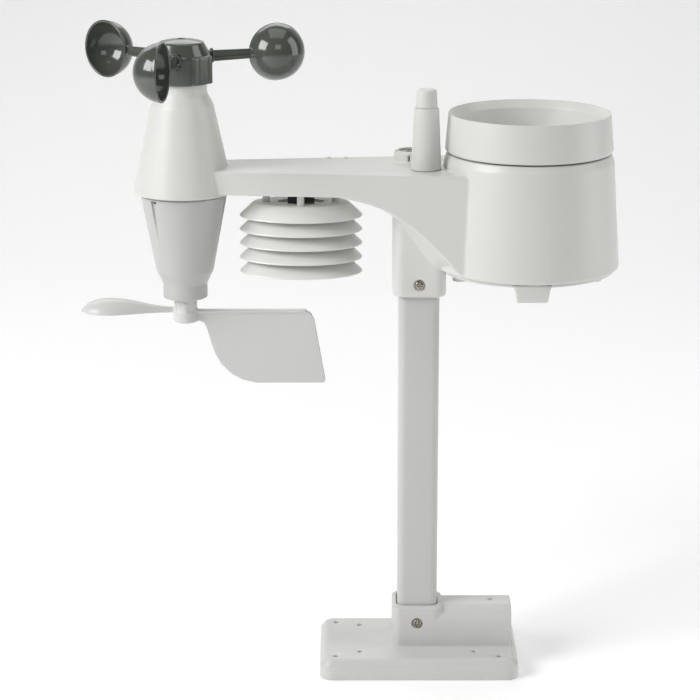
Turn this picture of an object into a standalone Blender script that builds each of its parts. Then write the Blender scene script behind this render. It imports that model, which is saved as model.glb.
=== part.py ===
"""Outdoor five-sensor weather station on a square mast: wind cups, wind vane, radiation shield, rain gauge.

Lengths are written in millimetres and turned into metres as each object is made. The mast's axis is the
Z axis, the base rests on z = 0, the rain gauge is towards +X, the wind tower towards -X, and the front
faces -Y.
"""

import math

import bmesh
import bpy
from mathutils import Matrix, Vector

MM = 0.001
GAP = 0.3  # clearance between touching pieces
WALL = 2.2  # moulded wall thickness
TOWER_SIDES = 28  # facets of the wind tower's cones
GAUGE_SIDES = 40  # facets of the rain gauge

# Base stand and mast
BASE_CENTRE_X = 1.0
BASE_WIDTH = 121.6
BASE_DEPTH = 76.0
BASE_HEIGHT = 13.0
BASE_CHAMFER = (3.4, 3.8)  # inwards, downwards
BASE_CORNER = 8.0
BASE_TOP_WALL = 2.6
BASE_HOLE_RADIUS = 1.7
BASE_BOSS_RADIUS = 4.2
BASE_HOLE_PLACES = ((50.1, 28.5), (35.2, 22.6))  # in each quarter of the plate
BASE_HOLES = [
    (side_x * x, side_y * y)
    for x, y in BASE_HOLE_PLACES
    for side_x in (1, -1)
    for side_y in (1, -1)
]
SOCKET_HALF = 15.4
SOCKET_TOP = 38.8
SOCKET_CORNER = 5.5
RIDGE_END_X = 58.2
RIDGE_CORNER = 11.0
RIDGE_BORE_Z = 24.0
RIDGE_HOLE_X = 45.6
MAST_WIDTH = 24.4
MAST_CORNER = 4.6
MAST_WALL = 2.0
MAST_BOTTOM = 3.4
MAST_TOP = 272.0
MAST_SCREW_HEIGHTS = {"base": 28.5, "head": 243.0}

# Head: arm, web, mast socket and rain housing in one moulding
ARM_TOP = 312.0
ARM_BOTTOM = 298.3
ARM_EDGE = 1.5
COVER_TOP = 300.1
COVER_ENDS = (-108.5, -45.0)
ARM_HALF_AT_ZERO = 31.9
ARM_BACK_EXTRA = 2.4  # the arm is this much deeper behind the mast than in front
ARM_TAPER = 0.106  # growth of the half-width per millimetre of X
SIDE_DRAFT = 0.055  # growth of the half-width per millimetre downwards
HEAD_SOCKET_HALF = 16.0
HEAD_SOCKET_BOTTOM = 235.0
HEAD_SOCKET_CORNER = 6.0
# Underside of the head at each X: height at the side faces, height at the mast socket's faces
UNDERSIDE = [
    (-130.0, 298.3, 298.3),
    (-47.0, 298.3, 298.0),
    (-36.0, 296.0, 295.0),
    (-26.0, 293.2, 291.5),
    (-16.5, 289.0, 285.0),
    (-11.0, 285.2, 279.8),
    (-3.0, 279.6, 270.0),
    (4.5, 273.0, 259.7),
    (9.0, 268.5, 254.6),
    (15.0, 263.0, 252.2),
    (19.0, 257.6, 252.0),
    (23.0, 253.8, 252.0),
    (34.0, 252.0, 252.0),
]

# Rain gauge
GAUGE_X = 64.8
HOUSING_BOTTOM = 252.0
HOUSING_TOP = 320.6
COLLECTOR_NECK = 45.4
COLLECTOR_OPENING = 46.2
COLLECTOR_TOP = 344.4
LUG_ANGLES = (30, 150, 270)
LUG_TURN = 30
BUCKET_PIVOT_Z = 281.9
BUCKET_TILT = 13.0
BUCKET_STOP_TOP = 280.3
DRAIN_OFFSET = 40.0
TRAY_RADIUS = 45.8
TRAY_BOTTOM = 272.9
TRAY_FLOOR = 1.8
PILLAR_ANGLES = (45, 135, 225, 315)
FLOOR_SCREW_RADIUS = 48.4
FLOOR_SCREWS = [
    (GAUGE_X + FLOOR_SCREW_RADIUS * math.cos(angle), FLOOR_SCREW_RADIUS * math.sin(angle))
    for angle in map(math.radians, PILLAR_ANGLES)
]
BUTTON_AT = (GAUGE_X - 12.0, 36.0)
LED_AT = (GAUGE_X + 12.0, 36.0)
CELL_PITCH = 15.2
CELL_Z = 258.6

# On top of the arm
LEVEL_AT = (-4.0, 17.0)
ANTENNA_AT = (3.5, -10.0)

# Wind tower
TOWER_X = -140.3
SHAFT_RADIUS = 1.5
BEARING_OUTER = 4.0
CUP_ARM_ANGLES = (19.5, 139.5, 259.5)
CUP_RADIUS = 17.06
CUP_WALL = 1.15
CUP_RIM_DISTANCE = 59.8
CUP_OFFSET = 4.4
CUP_Z = 376.8
VANE_SHAFT_RADIUS = 2.0
NOSE_BOTTOM = 223.2
CABLE_RADIUS = 0.9

# Radiation shield
SHIELD_X = -70.6
LOUVRE_HALF = (36.6, 25.0)
LOUVRE_LIPS = (282.6, 274.1, 265.7, 257.2, 248.6)
LOUVRE_RISE = 8.2
LOUVRE_SKIRT = 9.0
LOUVRE_THICKNESS = 1.6
LOUVRE_HOLE = (14.0, 8.0)
SHIELD_ROD_RADIUS = 1.1
SHIELD_RODS = ((-20.7, 0.0), (20.7, 0.0), (0.0, -13.0), (0.0, 13.0))

PLASTIC = ((0.80, 0.80, 0.77), 0.45, 0.0)
CUP_PLASTIC = ((0.10, 0.115, 0.10), 0.22, 0.0)
DARK_PLASTIC = ((0.03, 0.03, 0.03), 0.5, 0.0)
STEEL = ((0.35, 0.33, 0.30), 0.3, 1.0)
BRASS = ((0.75, 0.58, 0.28), 0.3, 1.0)
BOARD = ((0.03, 0.20, 0.08), 0.5, 0.0)
CLEAR = ((0.75, 0.85, 0.70), 0.05, 0.0)
RED_LENS = ((0.70, 0.05, 0.04), 0.15, 0.0)
MAGNET = ((0.12, 0.12, 0.13), 0.4, 0.6)
CELL = ((0.10, 0.12, 0.30), 0.35, 0.2)


def clear_scene():
    for obj in list(bpy.data.objects):
        bpy.data.objects.remove(obj, do_unlink=True)


def circle(radius, count, start=0.0):
    """Points of a circle, anticlockwise."""
    angles = [start + 2 * math.pi * i / count for i in range(count)]
    return [(radius * math.cos(a), radius * math.sin(a)) for a in angles]


def oval(half_x, half_y, count):
    angles = [2 * math.pi * i / count for i in range(count)]
    return [(half_x * math.cos(a), half_y * math.sin(a)) for a in angles]


def rounded_rectangle(width, depth, radius, steps=3):
    """Points of a rectangle with rounded corners, anticlockwise and centred."""
    points = []
    corners = ((1, 1, 0), (-1, 1, 90), (-1, -1, 180), (1, -1, 270))
    for sign_x, sign_y, first in corners:
        centre_x = sign_x * (width / 2 - radius)
        centre_y = sign_y * (depth / 2 - radius)
        for i in range(steps + 1):
            angle = math.radians(first + 90 * i / steps)
            points.append((centre_x + radius * math.cos(angle), centre_y + radius * math.sin(angle)))
    return points


def moved(points, offset_x, offset_y):
    return [(x + offset_x, y + offset_y) for x, y in points]


def mesh_from(vertices, faces):
    """An object with outward faces, from points in millimetres."""
    bm = bmesh.new()
    made = [bm.verts.new(v) for v in vertices]
    for face in faces:
        bm.faces.new([made[i] for i in face])
    bmesh.ops.recalc_face_normals(bm, faces=bm.faces)
    twisted = [face for face in bm.faces if len(face.verts) == 4]
    bmesh.ops.triangulate(bm, faces=twisted)
    mesh = bpy.data.meshes.new("shape")
    bm.to_mesh(mesh)
    bm.free()
    obj = bpy.data.objects.new("shape", mesh)
    bpy.context.collection.objects.link(obj)
    return obj


def lofted(loops):
    """A solid through closed loops of equal length, flat at both ends."""
    count = len(loops[0])
    vertices = [point for loop in loops for point in loop]
    faces = []
    for level in range(len(loops) - 1):
        low = level * count
        for i in range(count):
            j = (i + 1) % count
            faces.append((low + i, low + j, low + count + j, low + count + i))
    faces.append(tuple(reversed(range(count))))
    faces.append(tuple(range(len(vertices) - count, len(vertices))))
    return mesh_from(vertices, faces)


def prism(outline, bottom, top):
    """The outline in X and Y, extruded from one height to another."""
    return lofted([[(x, y, z) for x, y in outline] for z in (bottom, top)])


def block(low, high):
    outline = [(low[0], low[1]), (high[0], low[1]), (high[0], high[1]), (low[0], high[1])]
    return prism(outline, low[2], high[2])


def turned(profile, count, centre=(0.0, 0.0)):
    """A solid of revolution about Z from a closed profile of (radius, z); radius 0 is on the axis."""
    vertices = []
    rings = []
    for radius, z in profile:
        if radius == 0:
            rings.append([len(vertices)] * count)
            vertices.append((centre[0], centre[1], z))
            continue
        rings.append(list(range(len(vertices), len(vertices) + count)))
        vertices += [(centre[0] + x, centre[1] + y, z) for x, y in circle(radius, count)]
    faces = []
    for ring, following in zip(rings, rings[1:] + rings[:1]):
        for i in range(count):
            j = (i + 1) % count
            corners = dict.fromkeys((ring[i], ring[j], following[j], following[i]))
            if len(corners) > 2:
                faces.append(tuple(corners))
    return mesh_from(vertices, faces)


def cylinder(radius, bottom, top, centre, count=20):
    return turned([(0, bottom), (radius, bottom), (radius, top), (0, top)], count, centre)


def ring(outer, inner, bottom, top, centre, count=16):
    return turned([(inner, bottom), (outer, bottom), (outer, top), (inner, top)], count, centre)


def swept(path, radius, sides):
    """A round rod along a path of points, capped at both ends."""
    loops = []
    for i, point in enumerate(path):
        before = Vector(path[max(i - 1, 0)])
        after = Vector(path[min(i + 1, len(path) - 1)])
        along = (after - before).normalized()
        across = along.cross(Vector((0, 0, 1)))
        if across.length < 0.1:
            across = along.cross(Vector((0, 1, 0)))
        across.normalize()
        upward = across.cross(along)
        loops.append([tuple(Vector(point) + across * x + upward * y) for x, y in circle(radius, sides)])
    return lofted(loops)


def coil(coil_radius, wire_radius, bottom, top, turns, centre, steps=12):
    count = int(turns * steps)
    path = []
    for i in range(count + 1):
        angle = 2 * math.pi * i / steps
        x = centre[0] + coil_radius * math.cos(angle)
        y = centre[1] + coil_radius * math.sin(angle)
        path.append((x, y, bottom + (top - bottom) * i / count))
    return swept(path, wire_radius, 5)


def transformed(obj, matrix):
    obj.data.transform(matrix)
    return obj


def facing_front(obj, x, y, z):
    """Turns an object made around +Z so that +Z points at the viewer, -Y, and moves it."""
    turn = Matrix.Translation((x, y, z)) @ Matrix.Rotation(math.pi / 2, 4, "X")
    return transformed(obj, turn)


def is_closed(mesh):
    bm = bmesh.new()
    bm.from_mesh(mesh)
    closed = all(edge.is_manifold for edge in bm.edges)
    bm.free()
    return closed


def combined(target, other, operation):
    """Applies one Boolean and drops the second object. MANIFOLD steps in where EXACT leaves an open edge."""
    modifier = target.modifiers.new("shape", "BOOLEAN")
    modifier.operation = operation
    modifier.object = other
    for solver in ("EXACT", "MANIFOLD"):
        modifier.solver = solver
        evaluated = target.evaluated_get(bpy.context.evaluated_depsgraph_get())
        result = bpy.data.meshes.new_from_object(evaluated)
        if is_closed(result):
            break
    target.modifiers.clear()
    target.data = result
    bpy.data.objects.remove(other, do_unlink=True)
    return target


def joined(target, *others):
    for other in others:
        combined(target, other, "UNION")
    return target


def cut(target, *others):
    for other in others:
        combined(target, other, "DIFFERENCE")
    return target


def material(name, look):
    colour, roughness, metallic = look
    made = bpy.data.materials.new(name)
    made.use_nodes = True
    shader = made.node_tree.nodes["Principled BSDF"]
    shader.inputs["Base Color"].default_value = (*colour, 1.0)
    shader.inputs["Roughness"].default_value = roughness
    shader.inputs["Metallic"].default_value = metallic
    return made


def without_flat_edges(mesh):
    """Drops the edges that Booleans leave across flat faces."""
    bm = bmesh.new()
    bm.from_mesh(mesh)
    bmesh.ops.dissolve_limit(bm, angle_limit=math.radians(0.3), verts=bm.verts, edges=bm.edges)
    bmesh.ops.triangulate(bm, faces=bm.faces)
    bm.to_mesh(mesh)
    bm.free()


def finish(obj, name, look, origin=(0.0, 0.0, 0.0)):
    """Names a piece, gives it its material, puts its origin on its joint axis and shades it."""
    without_flat_edges(obj.data)
    obj.name = name
    obj.data.name = name
    obj.data.materials.clear()
    obj.data.materials.append(material(name, look))
    obj.data.transform(Matrix.Scale(MM, 4) @ Matrix.Translation(-Vector(origin)))
    obj.location = Vector(origin) * MM
    obj.data.shade_smooth()
    obj.data.set_sharp_from_angle(angle=math.radians(30))
    return obj


# Base stand and mast


def base_plate():
    half = BASE_HEIGHT - BASE_CHAMFER[1]
    full = rounded_rectangle(BASE_WIDTH, BASE_DEPTH, BASE_CORNER)
    foot = rounded_rectangle(BASE_WIDTH - 1.6, BASE_DEPTH - 1.6, BASE_CORNER - 0.8)
    inset = 2 * BASE_CHAMFER[0]
    top = rounded_rectangle(BASE_WIDTH - inset, BASE_DEPTH - inset, BASE_CORNER - BASE_CHAMFER[0])
    levels = ((foot, 0.0), (full, 1.2), (full, half), (top, BASE_HEIGHT))
    return lofted([[(x + BASE_CENTRE_X, y, z) for x, y in outline] for outline, z in levels])


def ridge_section(x):
    """Cross-section of the horizontal mast socket: upright sides and a rounded top."""
    points = [(x, SOCKET_HALF, 1.0), (x, -SOCKET_HALF, 1.0)]
    for sign, first in ((-1, 180), (1, 90)):
        for i in range(6):
            angle = math.radians(first - 90 * i / 5)
            y = sign * (SOCKET_HALF - RIDGE_CORNER) + RIDGE_CORNER * math.cos(angle)
            points.append((x, y, SOCKET_TOP - RIDGE_CORNER + RIDGE_CORNER * math.sin(angle)))
    return points


def mast_bore_section(clearance=GAP):
    size = MAST_WIDTH + 2 * clearance
    return rounded_rectangle(size, size, MAST_CORNER + clearance, 3)


def underside_pockets():
    """Two hollows under the plate, each leaving the bosses round its screw holes."""
    pockets = []
    for low, high in ((-55.5, -19.0), (19.0, 57.5)):
        pocket = block((low, -33.5, -1.0), (high, 33.5, BASE_HEIGHT - BASE_TOP_WALL))
        rib = 1.2 if high < 0 else 17.0
        cut(pocket, block((low - 1, -rib, -2.0), (high + 1, rib, BASE_HEIGHT)))
        for hole in BASE_HOLES:
            if low < hole[0] < high:
                cut(pocket, cylinder(BASE_BOSS_RADIUS, -2.0, BASE_HEIGHT, hole, 12))
        pockets.append(pocket)
    return pockets


def make_base_stand():
    body = base_plate()
    outline = rounded_rectangle(2 * SOCKET_HALF, 2 * SOCKET_HALF, SOCKET_CORNER)
    ridge = lofted([ridge_section(0.0), ridge_section(RIDGE_END_X)])
    joined(body, prism(outline, 1.0, SOCKET_TOP), ridge)
    cut(body, prism(mast_bore_section(), MAST_BOTTOM - GAP, SOCKET_TOP + 2))
    tunnel = prism(mast_bore_section(), 0.0, RIDGE_END_X - 18.0 + 5.0)
    lay_down = Matrix.Translation((18.0, 0, RIDGE_BORE_Z)) @ Matrix.Rotation(math.pi / 2, 4, "Y")
    cut(body, transformed(tunnel, lay_down))
    cut(body, *underside_pockets())
    for hole in BASE_HOLES:
        cut(body, cylinder(BASE_HOLE_RADIUS, -1.0, BASE_HEIGHT + 1, hole, 8))
    cut(body, cylinder(BASE_HOLE_RADIUS, 30.0, SOCKET_TOP + 1, (RIDGE_HOLE_X, 0.0), 8))
    cut_screw_seat(body, SOCKET_HALF, MAST_SCREW_HEIGHTS["base"])
    return finish(body, "base_stand", PLASTIC)


def cut_screw_seat(body, half, height):
    """Clearance hole through both walls, a shallow round seat in front and a hexagonal nut pocket behind."""
    cut(body, facing_front(cylinder(1.9, -half - 2, half + 2, (0, 0), 12), 0.0, 0.0, height))
    cut(body, facing_front(cylinder(3.1, half - 0.9, half + 2, (0, 0), 16), 0.0, 0.0, height))
    cut(body, facing_front(cylinder(3.5, -half - 2, -half + 1.7, (0, 0), 6), 0.0, 0.0, height))


def make_mast():
    tube = prism(rounded_rectangle(MAST_WIDTH, MAST_WIDTH, MAST_CORNER, 3), MAST_BOTTOM, MAST_TOP)
    inside = MAST_WIDTH - 2 * MAST_WALL
    cut(tube, prism(rounded_rectangle(inside, inside, MAST_CORNER - MAST_WALL, 3), 0.0, MAST_TOP + 5))
    for height in MAST_SCREW_HEIGHTS.values():
        cut(tube, facing_front(cylinder(1.9, -20.0, 20.0, (0, 0), 12), 0.0, 0.0, height))
    return finish(tube, "mast_pole", PLASTIC)


def cross_slot(radius, top, depth):
    """A cross recess for a screwdriver, as one cutter."""
    width = radius * 0.26
    first = block((-radius * 0.6, -width, top - depth), (radius * 0.6, width, top + 1))
    second = block((-width, -radius * 0.6, top - depth), (width, radius * 0.6, top + 1))
    return joined(first, second)


def pan_screw(shank_radius, shank_bottom, head_bottom, head_radius, head_height):
    """A pan-head screw along Z with its head at the top."""
    top = head_bottom + head_height
    profile = [
        (0, shank_bottom),
        (shank_radius, shank_bottom),
        (shank_radius, head_bottom),
        (head_radius, head_bottom),
        (head_radius * 0.75, top),
        (0, top),
    ]
    return turned(profile, 12)


def make_mast_fasteners():
    for place, half in (("base", SOCKET_HALF), ("head", HEAD_SOCKET_HALF)):
        height = MAST_SCREW_HEIGHTS[place]
        head_bottom, head_height = half - 0.6, 1.9
        screw = pan_screw(1.5, -half - 0.5, head_bottom, 2.7, head_height)
        cut(screw, cross_slot(2.7, head_bottom + head_height, 1.0))
        finish(facing_front(screw, 0.0, 0.0, height), place + "_screw", STEEL)
        nut = cylinder(3.15, -half - 0.9, -half + 1.4, (0, 0), 6)
        cut(nut, cylinder(1.8, -half - 3, -half + 3, (0, 0), 12))
        finish(facing_front(nut, 0.0, 0.0, height), place + "_nut", STEEL)


# Head


def half_width(x):
    return ARM_HALF_AT_ZERO + ARM_TAPER * x


def arm_section(x, side_z, middle_z, inset, lift):
    """Section across the head at one X: rounded top edges, drafted sides and a keel between the sides."""
    half = half_width(x) - inset
    top = ARM_TOP - inset
    edge = max(ARM_EDGE - inset, 0.4)
    bottom_half = half + (ARM_TOP - side_z) * SIDE_DRAFT
    keel = HEAD_SOCKET_HALF - 0.6
    low_side = side_z + lift
    low_middle = middle_z + lift
    points = [(x, -bottom_half, low_side), (x, -keel, low_middle)]
    points += [(x, keel, low_middle), (x, bottom_half + ARM_BACK_EXTRA, low_side)]
    for sign, angles in ((1, (0, 30, 60, 90)), (-1, (90, 60, 30, 0))):
        for angle in angles:
            turn = math.radians(angle)
            y = sign * (half - edge + edge * math.cos(turn))
            y += ARM_BACK_EXTRA if sign > 0 else 0.0
            points.append((x, y, top - edge + edge * math.sin(turn)))
    return points


def arm_solid(inset, lift, longer):
    """The arm and web, or with an inset their inside, which runs further at both ends."""
    sections = [arm_section(x, side, middle, inset, lift) for x, side, middle in UNDERSIDE]
    for section, shift in ((sections[0], -longer), (sections[-1], longer)):
        section[:] = [(x + shift, y, z) for x, y, z in section]
    return lofted(sections)


def tower_outer():
    profile = [
        (0, 296.8),
        (28.9, 296.8),
        (29.6, 297.4),
        (29.5, 299.0),
        (18.7, 348.2),
        (17.6, 351.6),
        (15.0, 355.6),
        (14.8, 357.0),
        (14.8, 364.4),
        (14.2, 365.0),
        (0, 365.0),
    ]
    return turned(profile, TOWER_SIDES, (TOWER_X, 0))


def tower_inner():
    profile = [
        (0, 290.0),
        (27.5, 290.0),
        (27.4, 299.5),
        (16.7, 347.6),
        (13.0, 354.2),
        (12.8, 362.8),
        (0, 362.8),
    ]
    return turned(profile, TOWER_SIDES, (TOWER_X, 0))


def housing_outer():
    profile = [
        (0, HOUSING_BOTTOM),
        (53.4, HOUSING_BOTTOM),
        (54.4, 252.8),
        (54.6, 254.6),
        (50.55, 315.6),
        (50.3, 316.9),
        (48.9, 320.3),
        (48.6, HOUSING_TOP),
        (0, HOUSING_TOP),
    ]
    return turned(profile, GAUGE_SIDES, (GAUGE_X, 0))


def housing_inner():
    profile = [(0, 245.0), (52.4, 245.0), (52.2, 255.4), (48.5, 312.6), (47.4, 315.2), (0, 315.2)]
    return turned(profile, GAUGE_SIDES, (GAUGE_X, 0))


def wedge(low_angle, high_angle, inner, outer, bottom, top, centre, steps=3):
    """A piece of a ring between two angles in degrees."""
    angles = [math.radians(low_angle + (high_angle - low_angle) * i / steps) for i in range(steps + 1)]
    outline = [(outer * math.cos(a), outer * math.sin(a)) for a in angles]
    outline += [(inner * math.cos(a), inner * math.sin(a)) for a in reversed(angles)]
    return prism(moved(outline, *centre), bottom, top)


def make_body_shell():
    shell = tower_outer()
    joined(shell, arm_solid(0.0, 0.0, 0.0), housing_outer())
    cut(shell, tower_inner())
    cut(shell, arm_solid(WALL, WALL + 0.4, 3.0), housing_inner())
    # Open underside of the arm, closed by the arm cover, and the bosses that the shield hangs from
    cut(shell, prism(cover_outline(0.0), 290.0, 303.0))
    for x, y in SHIELD_RODS:
        boss = (SHIELD_X + x, y)
        joined(shell, cylinder(3.2, COVER_TOP + GAP, 311.0, boss, 8))
        cut(shell, cylinder(SHIELD_ROD_RADIUS + GAP, 299.0, 309.6, boss, 8))
    # Mast socket
    outline = rounded_rectangle(2 * HEAD_SOCKET_HALF, 2 * HEAD_SOCKET_HALF, HEAD_SOCKET_CORNER)
    foot = rounded_rectangle(2 * HEAD_SOCKET_HALF - 3, 2 * HEAD_SOCKET_HALF - 3, HEAD_SOCKET_CORNER - 1.5)
    levels = ((foot, HEAD_SOCKET_BOTTOM), (outline, HEAD_SOCKET_BOTTOM + 1.8), (outline, 301.0))
    socket = lofted([[(x, y, z) for x, y in loop] for loop, z in levels])
    joined(shell, socket)
    cut(shell, prism(mast_bore_section(), HEAD_SOCKET_BOTTOM - 2, MAST_TOP + GAP))
    cut(shell, prism(rounded_rectangle(26.0, 26.0, 3.0, 2), MAST_TOP + 3.0, 306.0))
    cut_screw_seat(shell, HEAD_SOCKET_HALF, MAST_SCREW_HEIGHTS["head"])
    # Opening for the collector with the notches that let its lugs through
    gauge = (GAUGE_X, 0)
    cut(shell, cylinder(COLLECTOR_OPENING, 304.0, 325.0, gauge, GAUGE_SIDES))
    for angle in LUG_ANGLES:
        low = angle + LUG_TURN - 5
        cut(shell, wedge(low, low + 10, 40.0, 47.6, 309.0, 325.0, gauge))
    # Pillars that carry the circuit board and take the floor's screws
    for angle, screw in zip(PILLAR_ANGLES, FLOOR_SCREWS):
        joined(shell, wedge(angle - 3.5, angle + 3.5, 44.0, 53.0, 253.5, 270.7, gauge, 2))
        cut(shell, cylinder(1.2 + GAP, 252.0, 262.4, screw, 8))
    # Bearing tube of the wind cups, hung from the neck
    tower = (TOWER_X, 0)
    joined(shell, cylinder(6.6, 334.0, 364.0, tower, 16))
    for bottom, top in ((330.0, 339.5), (361.0, 367.0)):
        cut(shell, cylinder(BEARING_OUTER + GAP, bottom, top, tower, 16))
    cut(shell, cylinder(2.6, 330.0, 367.0, tower, 12))
    # Level boss and antenna hole on top of the arm
    joined(shell, cylinder(11.0, ARM_TOP - 1.5, 318.0, LEVEL_AT, 20))
    cut(shell, cylinder(9.6, 312.4, 320.0, LEVEL_AT, 20))
    cut(shell, cylinder(6.2, 305.0, 315.0, ANTENNA_AT, 16))
    # Two raised direction dots on the back of the arm
    for x in (-54.0, -44.0):
        joined(shell, cylinder(1.8, ARM_TOP - 1.0, ARM_TOP + 0.5, (x, 24.5), 8))
    return finish(shell, "body_shell", PLASTIC)


def cover_outline(inset):
    """Outline of the opening under the arm, or with an inset that of its cover."""
    left, right = COVER_ENDS[0] + inset, COVER_ENDS[1] - inset
    depth_left, depth_right = (half_width(x) - 3.0 - inset for x in (left, right))
    return [(left, depth_left), (left, -depth_left), (right, -depth_right), (right, depth_right)]


def make_arm_cover():
    cover = prism(cover_outline(GAP), COVER_TOP - 2.0, COVER_TOP)
    cut(cover, prism(moved(oval(11.0, 6.5, 16), SHIELD_X, 0), 295.0, 305.0))
    for x, y in SHIELD_RODS:
        cut(cover, cylinder(SHIELD_ROD_RADIUS + GAP, 295.0, 305.0, (SHIELD_X + x, y), 8))
    return finish(cover, "arm_cover", PLASTIC)


def make_housing_floor():
    profile = [(0, 249.8), (50.9, 249.8), (51.9, 250.8), (51.9, 253.2), (0, 253.2)]
    floor = turned(profile, GAUGE_SIDES, (GAUGE_X, 0))
    # Battery opening with the seat of the door round it
    cut(floor, block((GAUGE_X - 24.5, -27.0, 242.4), (GAUGE_X + 24.5, 27.0, 257.4)))
    cut(floor, block((GAUGE_X - 27.3, -31.3, 242.4), (GAUGE_X + 27.3, 31.3, 251.4)))
    cut(floor, block((GAUGE_X - 11.3, -55.0, 242.4), (GAUGE_X + 11.3, -25.0, 251.4)))
    for offset in (-DRAIN_OFFSET, DRAIN_OFFSET):
        cut(floor, cylinder(4.6 + 2 * GAP, 242.4, 257.4, (GAUGE_X + offset, 0.0), 12))
    for screw in FLOOR_SCREWS:
        cut(floor, cylinder(1.2 + GAP, 242.4, 257.4, screw, 8), cylinder(2.6, 242.4, 251.4, screw, 10))
    cut(floor, cylinder(3.3, 242.4, 257.4, BUTTON_AT, 12), cylinder(2.1, 242.4, 257.4, LED_AT, 12))
    # Room for the mast socket
    cut(floor, block((0.0, -17.0, 242.4), (HEAD_SOCKET_HALF + 0.5, 17.0, 257.4)))
    # Walls beside the cells and behind the contacts
    for side in (-1, 1):
        low, high = sorted((GAUGE_X + side * 26.4, GAUGE_X + side * 28.2))
        joined(floor, block((low, -28.8, 252.4), (high, 28.8, 264.4)))
        low, high = sorted((side * 27.0, side * 28.8))
        joined(floor, block((GAUGE_X - 27.0, low, 252.4), (GAUGE_X + 27.0, high, 264.4)))
    return finish(floor, "housing_floor", PLASTIC)


def make_floor_screws():
    for number, (x, y) in enumerate(FLOOR_SCREWS, 1):
        screw = pan_screw(1.2, -9.0, 0.0, 2.2, 1.4)
        place = Matrix.Translation((x, y, 251.4 - GAP)) @ Matrix.Rotation(math.pi, 4, "X")
        finish(transformed(screw, place), f"floor_screw_{number}", STEEL)


def make_battery_door():
    door = block((GAUGE_X - 27.0, -31.0, 249.4), (GAUGE_X + 27.0, 31.0, 251.1))
    joined(door, block((GAUGE_X - 11.0, -50.4, 249.4), (GAUGE_X + 11.0, -25.0, 251.1)))
    # Finger grip, narrowing downwards
    grip = []
    sizes = ((10.8, -50.0, -41.0, 250.0), (9.4, -49.4, -42.0, 241.2), (8.6, -48.6, -42.8, 240.2))
    for half, front, back, z in sizes:
        low, high = GAUGE_X - half, GAUGE_X + half
        grip.append([(low, front, z), (high, front, z), (high, back, z), (low, back, z)])
    joined(door, lofted(grip))
    return finish(door, "battery_door", PLASTIC, (GAUGE_X, 0, 249.4))


def make_reset_button():
    profile = [(0, 249.6), (2.6, 249.6), (3.0, 250.1), (3.0, 253.5), (4.4, 253.5), (4.4, 254.7), (0, 254.7)]
    return finish(turned(profile, 12, BUTTON_AT), "reset_button", DARK_PLASTIC, (*BUTTON_AT, 249.6))


def make_reset_spring():
    spring = coil(1.9, 0.25, 255.3, 258.7, 3, BUTTON_AT, 8)
    return finish(spring, "reset_spring", STEEL, (*BUTTON_AT, 258.7))


def make_led_lens():
    profile = [(0, 249.3), (1.3, 249.6), (1.8, 250.4), (1.8, 253.5), (2.6, 253.5), (2.6, 254.4), (0, 254.4)]
    return finish(turned(profile, 12, LED_AT), "led_lens", RED_LENS)


def make_antenna():
    sleeve = [
        (4.2, 307.0),
        (5.8, 307.0),
        (5.8, 312.3),
        (8.9, 312.3),
        (8.9, 313.0),
        (7.4, 348.2),
        (7.1, 348.8),
        (4.2, 348.8),
    ]
    finish(turned(sleeve, 16, ANTENNA_AT), "antenna_sleeve", PLASTIC)
    tip = [
        (0, 343.0),
        (3.9, 343.0),
        (3.9, 349.1),
        (6.4, 349.1),
        (6.4, 349.6),
        (5.95, 358.6),
        (5.1, 359.7),
        (0, 359.7),
    ]
    finish(turned(tip, 16, ANTENNA_AT), "antenna_tip", PLASTIC)
    finish(coil(2.6, 0.4, 309.0, 340.0, 4, ANTENNA_AT, 8), "antenna_coil", BRASS)


def make_level():
    retainer = [(8.4, 312.7), (9.3, 312.7), (9.3, 318.3), (8.9, 318.8), (8.4, 318.8)]
    finish(turned(retainer, 20, LEVEL_AT), "level_ring", PLASTIC)
    vial = [(0, 312.7), (8.1, 312.7), (8.1, 317.2), (5.5, 318.0), (0, 318.3)]
    finish(turned(vial, 20, LEVEL_AT), "level_vial", CLEAR)


# Electronics


def make_main_board():
    board = cylinder(TRAY_RADIUS - 0.2, 271.0, 272.6, (GAUGE_X, 0), 24)
    for offset in (-DRAIN_OFFSET, DRAIN_OFFSET):
        cut(board, cylinder(7.0, 262.4, 277.4, (GAUGE_X + offset, 0.0), 12))
    chip = block((GAUGE_X + 4.0, 31.0, 269.2), (GAUGE_X + 14.0, 39.0, 271.4))
    radio = block((GAUGE_X - 22.0, -38.0, 268.2), (GAUGE_X - 8.0, -29.0, 271.4))
    # Switch over the reset button's spring
    x, y = BUTTON_AT
    switch = block((x - 2.8, y - 2.8, 259.0), (x + 2.8, y + 2.8, 271.4))
    joined(board, chip, radio, switch)
    return finish(board, "main_board", BOARD)


def make_cells():
    for number in (1, 2, 3):
        x = GAUGE_X + (number - 2) * CELL_PITCH
        profile = [(0, -24.6), (7.1, -24.6), (7.1, 23.4), (2.7, 23.4), (2.7, 24.9), (0, 24.9)]
        cell = turned(profile, 12)
        if number == 2:
            transformed(cell, Matrix.Rotation(math.pi, 4, "X"))
        finish(facing_front(cell, x, 0.0, CELL_Z), f"cell_{number}", CELL)


def make_contacts():
    for name, y in (("front", -26.5), ("rear", 25.5)):
        plate = block((GAUGE_X - 26.0, y, 253.5), (GAUGE_X + 26.0, y + 1.0, 266.4))
        finish(plate, "contact_" + name, STEEL)


# Rain gauge


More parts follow.
